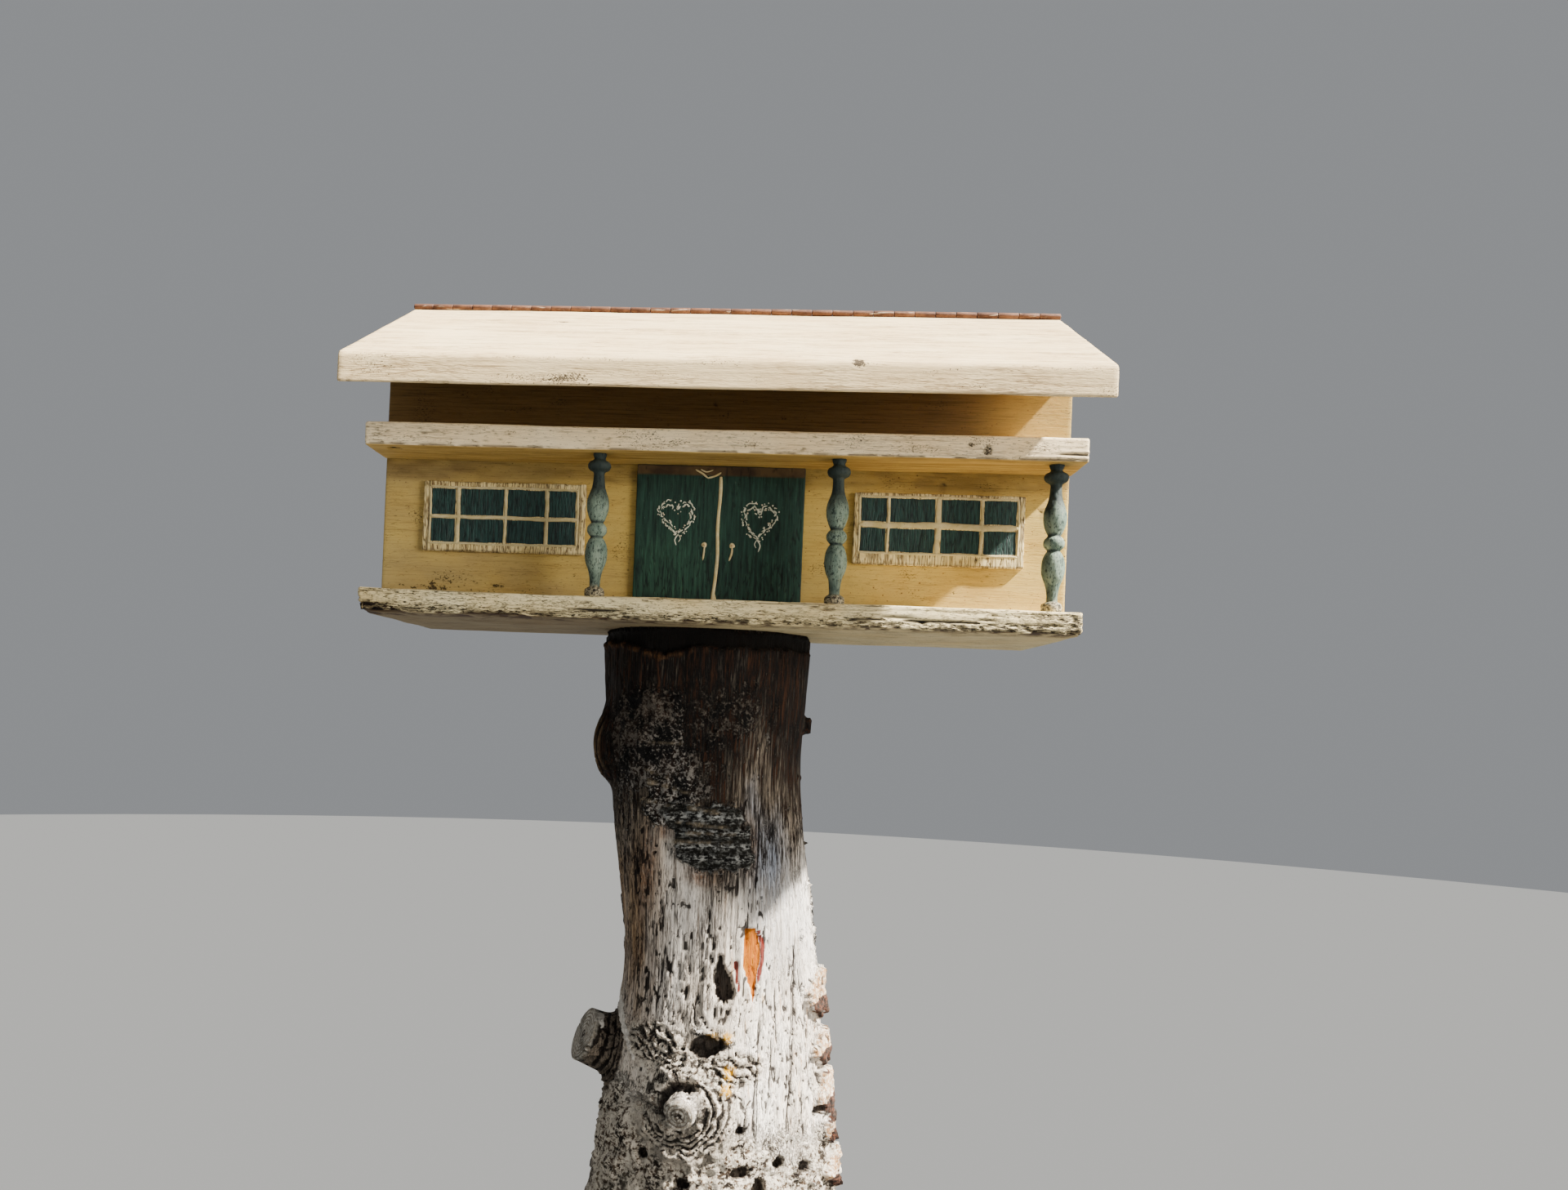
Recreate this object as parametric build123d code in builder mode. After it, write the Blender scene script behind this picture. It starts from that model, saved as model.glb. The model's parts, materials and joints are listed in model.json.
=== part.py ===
from build123d import *
import os
from math import cos, pi, radians, sin, tan

# A small painted wooden birdhouse, shaped as a cottage with a porch, on a dead tree trunk.
# Millimetres, +Z up, +X to the right as the porch is faced, +Y to the back.
# The origin lies on the ground, under the middle of the house body.

# Boards of the house
board_t = 13.0
house_length = 406.0
wall_set_back = 1.0
body_depth = 114.0
porch_depth = 38.0
front_wall_height = 146.0
spindle_height = 82.0
porch_board_t = 13.5
porch_edge_round = 1.5
entrance_r = 19.0
entrance_height = 88.0

# Roof
pitch_deg = 26.7
roof_t = 15.0
roof_end_overhang = 3.0
roof_run = 135.0
eave_round = 5.0
roof_end_round = 2.0
lid_seat = 0.3

# Ridge hinge
pin_r = 0.9
pin_fit = 0.05
barrel_r = 1.9
leaf_t = 0.8
leaf_gap = 0.5
leaf_height = 12.0
swing_gap = 0.3
knuckle_count = 32
knuckle_sides = 12
knuckle_gap = 0.3
tab_lap = 0.7

# Turned spindles
spindle_inset = 10.0
outer_spindle_end = 15.0
inner_spindle_x = 68.0
spindle_foot_r = 5.7
spindle_neck_r = 3.2
spindle_belly_r = 6.4
spindle_cove_r = 4.0
spindle_groove_r = 3.5
spindle_ball_r = 5.8
spindle_bead_r = 6.7
tenon_r = 3.9
tenon_length = 6.0
socket_fit = 0.05

# Thin boards on the front wall
panel_t = 3.0
window_length = 98.0
window_height = 42.0
window_x = 128.0
window_sill = 27.0
door_width = 99.0
door_x = 0.5
panel_edge_round = 0.6

# Trunk
trunk_height = 1450.0
trunk_y = 6.0
trunk_top_x = -6.0
trunk_top_r = 64.5
top_taper_depth = 110.0
bend_depth = 60.0
waist_depth = 230.0
waist_x = 9.0
waist_r = 60.0
swell_start_depth = 180.0
swell_depth = 380.0
swell_r = 79.0
stem_sides = 24
stem_steps = 20
flare_height = 520.0
flare_r = 132.0
root_count = 5
root_share = 0.15
root_turn = 0.8
rib_count = 6
rib_depth = 1.6
rib_twist = 0.004
bulge_count = 3
bulge_depth = 1.4
bulge_twist = -0.006
level_depth = 150.0
left_stub_depth = 272.0
left_stub_r = 19.0
left_stub_length = 46.0
left_collar_r = 25.0
left_collar_length = 22.0
front_stub_depth = 280.0
front_stub_r = 8.5
front_stub_length = 29.0
front_collar_r = 25.0
front_collar_length = 20.0
lip_depth = 73.0
lip_height = 46.0
lip_reach = 13.0
lip_y = -12.0
twig_depth = 56.0
twig_y = -8.0
twig_r = 5.5
twig_root = 16.0
twig_length = 22.0

# Places worked out from the sizes above
wall_length = house_length - 2 * wall_set_back
roof_length = house_length + 2 * roof_end_overhang
outer_spindle_x = house_length / 2 - outer_spindle_end
slope = tan(radians(pitch_deg))
base_z = trunk_height
floor_z = base_z + board_t
porch_under_z = floor_z + spindle_height
porch_top_z = porch_under_z + porch_board_t
body_front = -body_depth / 2
body_back = body_depth / 2
base_front = body_front - porch_depth
wall_top_z = floor_z + front_wall_height
roof_plumb_t = roof_t / cos(radians(pitch_deg))
leaf_y = leaf_gap / 2
ridge_y = leaf_y + leaf_t


def under_z(y):
    """Height of the roof's underside at a distance y from the ridge, either way."""
    return wall_top_z + (body_depth / 2 - abs(y)) * slope


def top_z(y):
    """Height of the roof's top face at a distance y from the ridge."""
    return under_z(y) + roof_plumb_t


axis_z = top_z(ridge_y) + barrel_r + swing_gap / 2
spindle_y = base_front + spindle_inset

os.makedirs("parts", exist_ok=True)


def keep(piece, name):
    """Labels a finished piece and writes its STEP file."""
    piece.part.label = name
    export_step(piece.part, f"parts/{name}.step")


# Trunk: sections up the stem, from the spread of the roots to the house
def ease(value, low, high):
    """Runs smoothly from 0 at low to 1 at high."""
    t = min(max((value - low) / (high - low), 0), 1)
    return t * t * (3 - 2 * t)


def stem_x(depth):
    """Sideways place of the stem's middle at a depth under the house."""
    bend = trunk_top_x + (waist_x - trunk_top_x) * ease(depth, bend_depth, waist_depth)
    return bend * (1 - ease(depth, waist_depth, trunk_height))


def stem_r(depth):
    """Mean radius of the stem at a depth under the house."""
    top = (trunk_top_r - waist_r) * (1 - ease(depth, 0, top_taper_depth))
    swell = (swell_r - waist_r) * ease(depth, swell_start_depth, swell_depth)
    spread = max(0, 1 - (trunk_height - depth) / flare_height)
    return waist_r + top + swell + (flare_r - swell_r) * spread ** 3


def stem_ribs(angle, depth):
    """Shallow ribs and hollows that wind slowly round the stem, level with its sides at level_depth."""
    down = depth - level_depth
    ribs = rib_depth * sin(rib_count * angle + rib_twist * down)
    return -ribs - bulge_depth * sin(bulge_count * angle + bulge_twist * down)


def stem_section(depth):
    """The many-sided outline of the stem at a depth under the house, lobed at the roots."""
    lobe = root_share * max(0, 1 - (trunk_height - depth) / flare_height) ** 2
    points = []
    for i in range(stem_sides):
        a = 2 * pi * i / stem_sides
        reach = stem_r(depth) * (1 + lobe * cos(root_count * a + root_turn)) + stem_ribs(a, depth)
        points.append((stem_x(depth) + reach * cos(a), trunk_y + reach * sin(a)))
    with BuildSketch(Plane.XY.offset(trunk_height - depth)) as section:
        with BuildLine():
            Polyline(*points, close=True)
        make_face()
    return section.sketch


with BuildPart() as trunk:
    loft([stem_section(trunk_height * i / stem_steps) for i in range(stem_steps + 1)], ruled=True)

    # Cut branch on the left, leaning up and a little forward, with its swollen collar
    left_x = stem_x(left_stub_depth) - 0.62 * stem_r(left_stub_depth)
    left_root = (left_x, trunk_y - 8, trunk_height - left_stub_depth)
    left_stub = Plane(origin=left_root, z_dir=(-0.86, -0.34, 0.38))
    with BuildSketch(left_stub):
        Circle(left_collar_r)
    with BuildSketch(left_stub.offset(left_collar_length)):
        Circle(left_stub_r)
    loft()
    with BuildSketch(left_stub.offset(left_collar_length)):
        Circle(left_stub_r)
    with BuildSketch(left_stub.offset(left_stub_length)):
        Circle(0.88 * left_stub_r)
    loft()

    # Cut branch on the front, with its swollen collar
    front_y = trunk_y - stem_r(front_stub_depth)
    front_root = (stem_x(front_stub_depth) - 11, front_y + 16, trunk_height - front_stub_depth)
    front_stub = Plane(origin=front_root, z_dir=(-0.22, -0.97, -0.1))
    with BuildSketch(front_stub):
        Circle(front_collar_r)
    with BuildSketch(front_stub.offset(front_collar_length)):
        Circle(1.6 * front_stub_r)
    loft()
    with BuildSketch(front_stub.offset(front_collar_length)):
        Circle(1.12 * front_stub_r)
    with BuildSketch(front_stub.offset(front_stub_length)):
        Circle(front_stub_r)
    loft()

    # Healed lip of an old wound on the left
    lip_x = stem_x(lip_depth) - stem_r(lip_depth) + lip_reach / 2
    lip = Plane(origin=(lip_x, trunk_y + lip_y, trunk_height - lip_depth), z_dir=(-1, -0.2, 0))
    with BuildSketch(lip):
        Circle(lip_height / 2)
    with BuildSketch(lip.offset(lip_reach)):
        Circle(lip_height / 4)
    loft()

    # Short snapped twig on the right
    twig_x = stem_x(twig_depth) + stem_r(twig_depth)
    with BuildSketch(Plane.YZ.offset(twig_x - twig_root)):
        with Locations((trunk_y + twig_y, trunk_height - twig_depth)):
            Circle(twig_r)
    extrude(amount=twig_length)
keep(trunk, "trunk")

# Base board, with a socket for the foot of every spindle
spindle_xs = [-outer_spindle_x, -inner_spindle_x, inner_spindle_x, outer_spindle_x]
socket_places = [(x, spindle_y) for x in spindle_xs]

with BuildPart() as base_board:
    with BuildSketch(Plane.XY.offset(base_z)):
        with Locations((0, (base_front + body_back) / 2)):
            Rectangle(house_length, porch_depth + body_depth)
    extrude(amount=board_t)
    with BuildSketch(Plane.XY.offset(floor_z)):
        with Locations(*socket_places):
            Circle(tenon_r + socket_fit)
    extrude(amount=-tenon_length, mode=Mode.SUBTRACT)
keep(base_board, "base_board")

# Porch roof board, with the same sockets in its underside
with BuildPart() as porch_roof_board:
    with BuildSketch(Plane.XY.offset(porch_under_z)):
        with Locations((0, (base_front + body_front) / 2)):
            Rectangle(house_length, porch_depth)
    extrude(amount=porch_board_t)
    fillet(porch_roof_board.edges().filter_by(Axis.X).group_by(Axis.Y)[0], porch_edge_round)
    with BuildSketch(Plane.XY.offset(porch_under_z)):
        with Locations(*socket_places):
            Circle(tenon_r + socket_fit)
    extrude(amount=tenon_length, mode=Mode.SUBTRACT)
keep(porch_roof_board, "porch_roof_board")


# Walls
def long_wall(name, outer, inner, drop):
    """A board along the house whose top edge follows the roof, lower by drop."""
    with BuildPart() as wall:
        with BuildSketch(Plane.YZ.offset(-wall_length / 2)):
            with BuildLine():
                Polyline(
                    (outer, floor_z),
                    (inner, floor_z),
                    (inner, under_z(inner) - drop),
                    (outer, under_z(outer) - drop),
                    close=True,
                )
            make_face()
        extrude(amount=wall_length)
    keep(wall, name)


def gable_wall(name, low_x):
    """A board between the long walls, from the floor up into the gable, with a round entrance."""
    half = body_depth / 2 - board_t
    with BuildPart() as wall:
        with BuildSketch(Plane.YZ.offset(low_x)):
            with BuildLine():
                Polyline(
                    (-half, floor_z),
                    (half, floor_z),
                    (half, under_z(half)),
                    (0, under_z(0)),
                    (0, under_z(0) - lid_seat),
                    (-half, under_z(half) - lid_seat),
                    close=True,
                )
            make_face()
            with Locations((0, floor_z + entrance_height)):
                Circle(entrance_r, mode=Mode.SUBTRACT)
        extrude(amount=board_t)
    keep(wall, name)


long_wall("front_wall", body_front, body_front + board_t, lid_seat)
long_wall("back_wall", body_back, body_back - board_t, 0)
gable_wall("left_gable_wall", -wall_length / 2)
gable_wall("right_gable_wall", wall_length / 2 - board_t)


# Roof boards, cut plumb at the ridge and at the eave
def roof_board(name, side):
    """side is -1 for the front slope and 1 for the back one."""
    ridge = side * ridge_y
    eave = side * roof_run
    with BuildPart() as board:
        with BuildSketch(Plane.YZ.offset(-roof_length / 2)):
            with BuildLine():
                Polyline(
                    (ridge, under_z(ridge)),
                    (eave, under_z(eave)),
                    (eave, top_z(eave)),
                    (ridge, top_z(ridge)),
                    close=True,
                )
            make_face()
        extrude(amount=roof_length)
        top_eave_edge = board.edges().filter_by(Axis.X).sort_by_distance((0, eave, top_z(eave)))[0]
        fillet(top_eave_edge, eave_round)
        top_face = board.faces().filter_by(Plane.YZ, reverse=True).sort_by(Axis.Z)[-1]
        end_edges = top_face.edges().filter_by(Axis.X, reverse=True)
        fillet(end_edges, roof_end_round)
    keep(board, name)


roof_board("front_roof_lid", -1)
roof_board("back_roof_board", 1)

# Ridge hinge: two leaves with knuckles in turn, on one pin. A knuckle is strip rolled to near round.
knuckle_pitch = roof_length / knuckle_count
knuckle_length = knuckle_pitch - knuckle_gap
leaf_top_z = axis_z - barrel_r - swing_gap


def hinge_leaf(name, side, first):
    """A leaf on the plumb cut of the roof on one side, with every second knuckle from first."""
    with BuildPart() as leaf:
        with BuildSketch(Plane.YZ.offset(-roof_length / 2)):
            with Locations((side * (leaf_y + leaf_t / 2), leaf_top_z - leaf_height / 2)):
                Rectangle(leaf_t, leaf_height)
        extrude(amount=roof_length)
        for i in range(first, knuckle_count, 2):
            start_x = -roof_length / 2 + i * knuckle_pitch + knuckle_gap / 2
            with BuildSketch(Plane.YZ.offset(start_x)):
                with Locations((0, axis_z)):
                    RegularPolygon(barrel_r, knuckle_sides)
                tab_top_z = axis_z - barrel_r + tab_lap
                with Locations((side * (leaf_y + leaf_t / 2), (leaf_top_z - swing_gap + tab_top_z) / 2)):
                    Rectangle(leaf_t, tab_top_z - leaf_top_z + swing_gap)
                with Locations((0, axis_z)):
                    RegularPolygon(pin_r + pin_fit, knuckle_sides, major_radius=False, mode=Mode.SUBTRACT)
            extrude(amount=knuckle_length)
    keep(leaf, name)


hinge_leaf("hinge_fixed_leaf", 1, 0)
hinge_leaf("hinge_lid_leaf", -1, 1)

with BuildPart() as hinge_pin:
    with BuildSketch(Plane.YZ.offset(-roof_length / 2)):
        with Locations((0, axis_z)):
            Circle(pin_r)
    extrude(amount=roof_length)
keep(hinge_pin, "hinge_pin")


# Turned spindles: a half profile, with heights in shares of the whole
def spindle(name, x):
    """A turned post between the base and the porch roof, with a tenon at each end."""
    ball_at = 0.467

    def spot(r, share):
        return (x + r, floor_z + share * spindle_height)

    with BuildPart() as post:
        with BuildSketch(Plane.XZ.offset(-spindle_y)):
            with BuildLine():
                low_z = floor_z - tenon_length + socket_fit
                high_z = porch_under_z + tenon_length - socket_fit
                Polyline(
                    spot(tenon_r, 0),
                    (x + tenon_r, low_z),
                    (x, low_z),
                    (x, high_z),
                    (x + tenon_r, high_z),
                    spot(tenon_r, 0.985),
                    spot(spindle_neck_r, 0.97),
                    spot(spindle_neck_r, 0.955),
                )
                Polyline(
                    spot(spindle_neck_r, 0.955),
                    spot(spindle_bead_r, 0.926),
                    spot(spindle_bead_r, 0.904),
                    spot(spindle_neck_r, 0.875),
                    spot(spindle_neck_r, ball_at + 0.347),
                )

                # A vase above the ball and its mirror image below
                for way in (1, -1):
                    Polyline(
                        spot(spindle_neck_r, ball_at + way * 0.347),
                        spot(spindle_cove_r, ball_at + way * 0.29),
                        spot(spindle_belly_r, ball_at + way * 0.2),
                        spot(spindle_belly_r, ball_at + way * 0.14),
                        spot(spindle_groove_r, ball_at + way * 0.055),
                        spot(spindle_ball_r, ball_at + way * 0.018),
                    )
                Line(spot(spindle_ball_r, ball_at + 0.018), spot(spindle_ball_r, ball_at - 0.018))

                Polyline(
                    spot(spindle_neck_r, ball_at - 0.347),
                    spot(spindle_neck_r, 0.066),
                    spot(spindle_foot_r, 0.043),
                    spot(spindle_foot_r, 0.018),
                    spot(tenon_r, 0),
                )
            make_face()
        revolve(axis=Axis((x, spindle_y, 0), (0, 0, 1)))
    keep(post, name)


spindle("spindle_inner_left", -inner_spindle_x)
spindle("spindle_inner_right", inner_spindle_x)
spindle("spindle_outer_right", outer_spindle_x)


# Thin boards on the front wall
def wall_panel(name, x, low_z, length, height):
    """A thin board on the front wall, its front edges eased."""
    with BuildPart() as panel:
        with BuildSketch(Plane.XZ.offset(-body_front)):
            with Locations((x, low_z + height / 2)):
                Rectangle(length, height)
        extrude(amount=panel_t)
        fillet(panel.faces().sort_by(Axis.Y)[0].edges(), panel_edge_round)
    keep(panel, name)


wall_panel("left_window_board", -window_x, floor_z + window_sill, window_length, window_height)
wall_panel("right_window_board", window_x, floor_z + window_sill, window_length, window_height)
wall_panel("door_board", door_x, floor_z, door_width, spindle_height)
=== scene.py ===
import json
import math
import random

import bmesh
import bpy
import numpy as np
from mathutils import Matrix, Vector

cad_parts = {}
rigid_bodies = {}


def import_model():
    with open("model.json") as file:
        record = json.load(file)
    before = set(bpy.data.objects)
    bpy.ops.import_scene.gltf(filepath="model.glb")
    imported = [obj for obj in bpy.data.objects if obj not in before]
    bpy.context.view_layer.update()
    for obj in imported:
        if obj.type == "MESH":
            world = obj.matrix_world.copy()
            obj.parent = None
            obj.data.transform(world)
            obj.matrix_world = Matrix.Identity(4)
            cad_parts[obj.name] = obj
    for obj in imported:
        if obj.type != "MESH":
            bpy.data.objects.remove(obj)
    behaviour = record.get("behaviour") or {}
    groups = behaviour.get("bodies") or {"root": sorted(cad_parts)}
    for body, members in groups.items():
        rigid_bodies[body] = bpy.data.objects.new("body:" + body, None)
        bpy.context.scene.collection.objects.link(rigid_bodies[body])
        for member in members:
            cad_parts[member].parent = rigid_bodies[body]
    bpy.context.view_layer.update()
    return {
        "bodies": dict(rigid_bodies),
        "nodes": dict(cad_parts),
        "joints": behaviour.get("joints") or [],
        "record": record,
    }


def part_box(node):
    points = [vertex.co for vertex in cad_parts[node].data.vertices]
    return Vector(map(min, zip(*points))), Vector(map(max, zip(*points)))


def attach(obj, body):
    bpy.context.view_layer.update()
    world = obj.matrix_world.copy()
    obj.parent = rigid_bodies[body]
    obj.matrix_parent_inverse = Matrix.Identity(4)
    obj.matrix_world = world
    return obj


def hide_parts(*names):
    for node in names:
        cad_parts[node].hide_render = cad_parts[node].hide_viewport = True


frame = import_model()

# Lengths in this script are millimetres until a mesh is made, which turns them into metres.
MM = 0.001


# Numbers and noise
def node_box(name):
    """Lowest and highest corner of a CAD node, in mm."""
    low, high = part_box(name)
    return np.array(low) / MM, np.array(high) / MM


def smooth(value, low, high):
    """Runs smoothly from 0 at low to 1 at high."""
    t = np.clip((value - low) / (high - low), 0, 1)
    return t * t * (3 - 2 * t)


def fade(value, low, high):
    """Runs smoothly from 1 at low to 0 at high."""
    return 1 - smooth(value, low, high)


def wave(angle):
    """A sine between 0 and 1."""
    return 0.5 + 0.5 * np.sin(angle)


def hashed(ix, iy, iz, seed):
    """A repeatable number from 0 to 1 for each lattice point."""
    n = (ix * 374761393 + iy * 668265263 + iz * 1440662683 + seed * 1013904223) & 0xFFFFFFFF
    n = ((n ^ (n >> 13)) * 1274126177) & 0xFFFFFFFF
    return (n ^ (n >> 16)) / 4294967295.0


class At:
    """Noise and places at a set of points in mm."""

    def __init__(self, points):
        self.points = points

    def noise(self, grain, seed=0, octaves=1):
        """Smooth noise from about -1 to 1. grain is its size in mm, as one number or three."""
        q = self.points / np.asarray(grain, float)
        total = np.zeros(len(self.points))
        weight, strength = 0.0, 1.0
        for octave in range(octaves):
            cell = np.floor(q).astype(np.int64)
            f = q - cell
            f = f * f * (3 - 2 * f)
            value = np.zeros(len(self.points))
            for dx in (0, 1):
                wx = f[:, 0] if dx else 1 - f[:, 0]
                for dy in (0, 1):
                    wy = f[:, 1] if dy else 1 - f[:, 1]
                    for dz in (0, 1):
                        wz = f[:, 2] if dz else 1 - f[:, 2]
                        corner = hashed(cell[:, 0] + dx, cell[:, 1] + dy, cell[:, 2] + dz, seed + octave)
                        value += wx * wy * wz * corner
            total += strength * (2 * value - 1)
            weight += strength
            strength *= 0.5
            q = q * 2.03 + 17.3
        return total / weight * 1.6

    def lines(self, grain, seed, width, octaves=2):
        """1 on the thin lines where a stretched noise crosses zero, falling to 0 at width."""
        return fade(np.abs(self.noise(grain, seed, octaves)), 0, width)

    def areas(self, grain, seed, low, high, octaves=1):
        """Scattered areas of noise: 0 where it is under low, 1 where it is over high."""
        return smooth(self.noise(grain, seed, octaves), low, high)

    def spot(self, centre, size):
        """1 at centre, falling to 0 on an ellipsoid of half axes size."""
        d = np.linalg.norm((self.points - np.asarray(centre, float)) / np.asarray(size, float), axis=1)
        return fade(d, 0.35, 1)


# Meshes
def add_object(name, data):
    made = bpy.data.objects.new(name, data)
    bpy.context.scene.collection.objects.link(made)
    return made


def smooth_piece(mesh, material, marks):
    """An object of a mesh, with one float attribute for each entry of marks."""
    mesh.materials.clear()
    mesh.materials.append(material)
    for mark, values in marks.items():
        layer = mesh.attributes.new(mark, "FLOAT", "POINT")
        layer.data.foreach_set("value", np.asarray(values, np.float32))
    mesh.polygons.foreach_set("use_smooth", [True] * len(mesh.polygons))
    mesh.update()
    return add_object(mesh.name, mesh)


def new_mesh(name, points, faces, material, marks):
    """A smooth piece from points in mm and faces."""
    mesh = bpy.data.meshes.new(name)
    mesh.from_pydata((np.asarray(points) * MM).tolist(), [], faces)
    return smooth_piece(mesh, material, marks)


def tube_faces(rows, around):
    """Quads round a tube whose points come row by row, and one face on each of its ends."""
    i, j = np.meshgrid(np.arange(rows - 1), np.arange(around), indexing="ij")
    k = (j + 1) % around
    quads = np.stack([i * around + j, i * around + k, (i + 1) * around + k, (i + 1) * around + j], -1)
    ends = [list(range(around))[::-1], list(range((rows - 1) * around, rows * around))]
    return quads.reshape(-1, 4).tolist() + ends


def place(piece, body, slot, *nodes):
    """Hangs a piece on its body and hides the CAD nodes that it stands for. Its slot is not used."""
    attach(piece, body)
    if nodes:
        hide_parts(*nodes)
    return piece


def ring(corners, radii, steps):
    """Points and outward normals round a convex outline of (y, z), with its corners rounded by radii."""
    count = len(corners)
    corners = [np.array(c, float) for c in corners]
    points, normals, starts = [], [], []
    for i in range(count):
        before = corners[i] - corners[i - 1]
        after = corners[(i + 1) % count] - corners[i]
        before /= np.linalg.norm(before)
        after /= np.linalg.norm(after)
        turn = math.acos(float(np.clip(before @ after, -1, 1)))
        back = radii[i] * math.tan(turn / 2)
        out_before = np.array([before[1], -before[0]])
        centre = corners[i] - before * back - out_before * radii[i]
        starts.append((centre, out_before, turn, corners[i] + after * back))
    for i in range(count):
        centre, out, turn, leave = starts[i]
        arcs = max(2, int(radii[i] * turn / 0.8) + 1)
        for k in range(arcs + 1):
            a = turn * k / arcs
            n = np.array([out[0] * math.cos(a) - out[1] * math.sin(a),
                          out[0] * math.sin(a) + out[1] * math.cos(a)])
            points.append(centre + n * radii[i])
            normals.append(n)
        centre2, out2, _, _ = starts[(i + 1) % count]
        arrive = centre2 + out2 * radii[(i + 1) % count]
        length = np.linalg.norm(arrive - leave)
        pieces = max(1, int(length / steps[i]))
        for k in range(1, pieces):
            points.append(leave + (arrive - leave) * k / pieces)
            normals.append(out2)
    return np.array(points), np.array(normals)


def plank(node, corners, radii, spine, steps, material, slot, relief, body="house"):
    """A board along X in a node's place, whose section is an outline that narrows to its spine at the ends.
    relief(points, normals) gives its bumps and marks."""
    start, stop = (corner[0] for corner in node_box(node))
    section, outward = ring(corners, radii, steps[1])
    a, b = (np.array(s, float) for s in spine)
    along = (b - a) / max(np.linalg.norm(b - a), 1e-6)
    reach = np.clip((section - a) @ along, 0, np.linalg.norm(b - a))
    core = a + reach[:, None] * along
    count = max(2, int((stop - start) / steps[0]))
    end_round = 1.1
    insets = [(0.0, 0.96), (0.0, 0.7), (0.0, 0.45), (0.05, 0.22), (0.35, 0.05)]
    rows = [(start + x, share) for x, share in insets]
    rows += [(x, 0.0) for x in np.linspace(start + end_round, stop - end_round, count)]
    rows += [(stop - x, share) for x, share in reversed(insets)]
    points, normals = [], []
    last = len(rows) - 1
    for i, (x, share) in enumerate(rows):
        flat = section + (core - section) * share
        side = -1 if i < last / 2 else 1
        tilt = min(1.0, share * 6)
        points.append(np.column_stack([np.full(len(flat), x), flat]))
        normal = np.column_stack([np.full(len(flat), side * tilt), outward * (1 - tilt)])
        normals.append(normal / np.linalg.norm(normal, axis=1)[:, None])
    points = np.concatenate(points)
    normals = np.concatenate(normals)
    bump, marks = relief(points, normals)
    points = points + normals * np.asarray(bump)[:, None]
    faces = tube_faces(len(rows), len(section))
    marks["end"] = np.abs(normals[:, 0]) > 0.6
    marks = {mark: np.clip(values, 0, 1) for mark, values in marks.items()}
    place(new_mesh(node + "_dressed", points, faces, material, marks), body, slot, node)


# Materials
def rgb(red, green, blue):
    """A linear colour from screen values of 0 to 255."""
    shares = [v / 255 for v in (red, green, blue)]
    return tuple(((v + 0.055) / 1.055) ** 2.4 if v > 10 / 255 else v / 12.92 for v in shares) + (1,)


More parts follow.
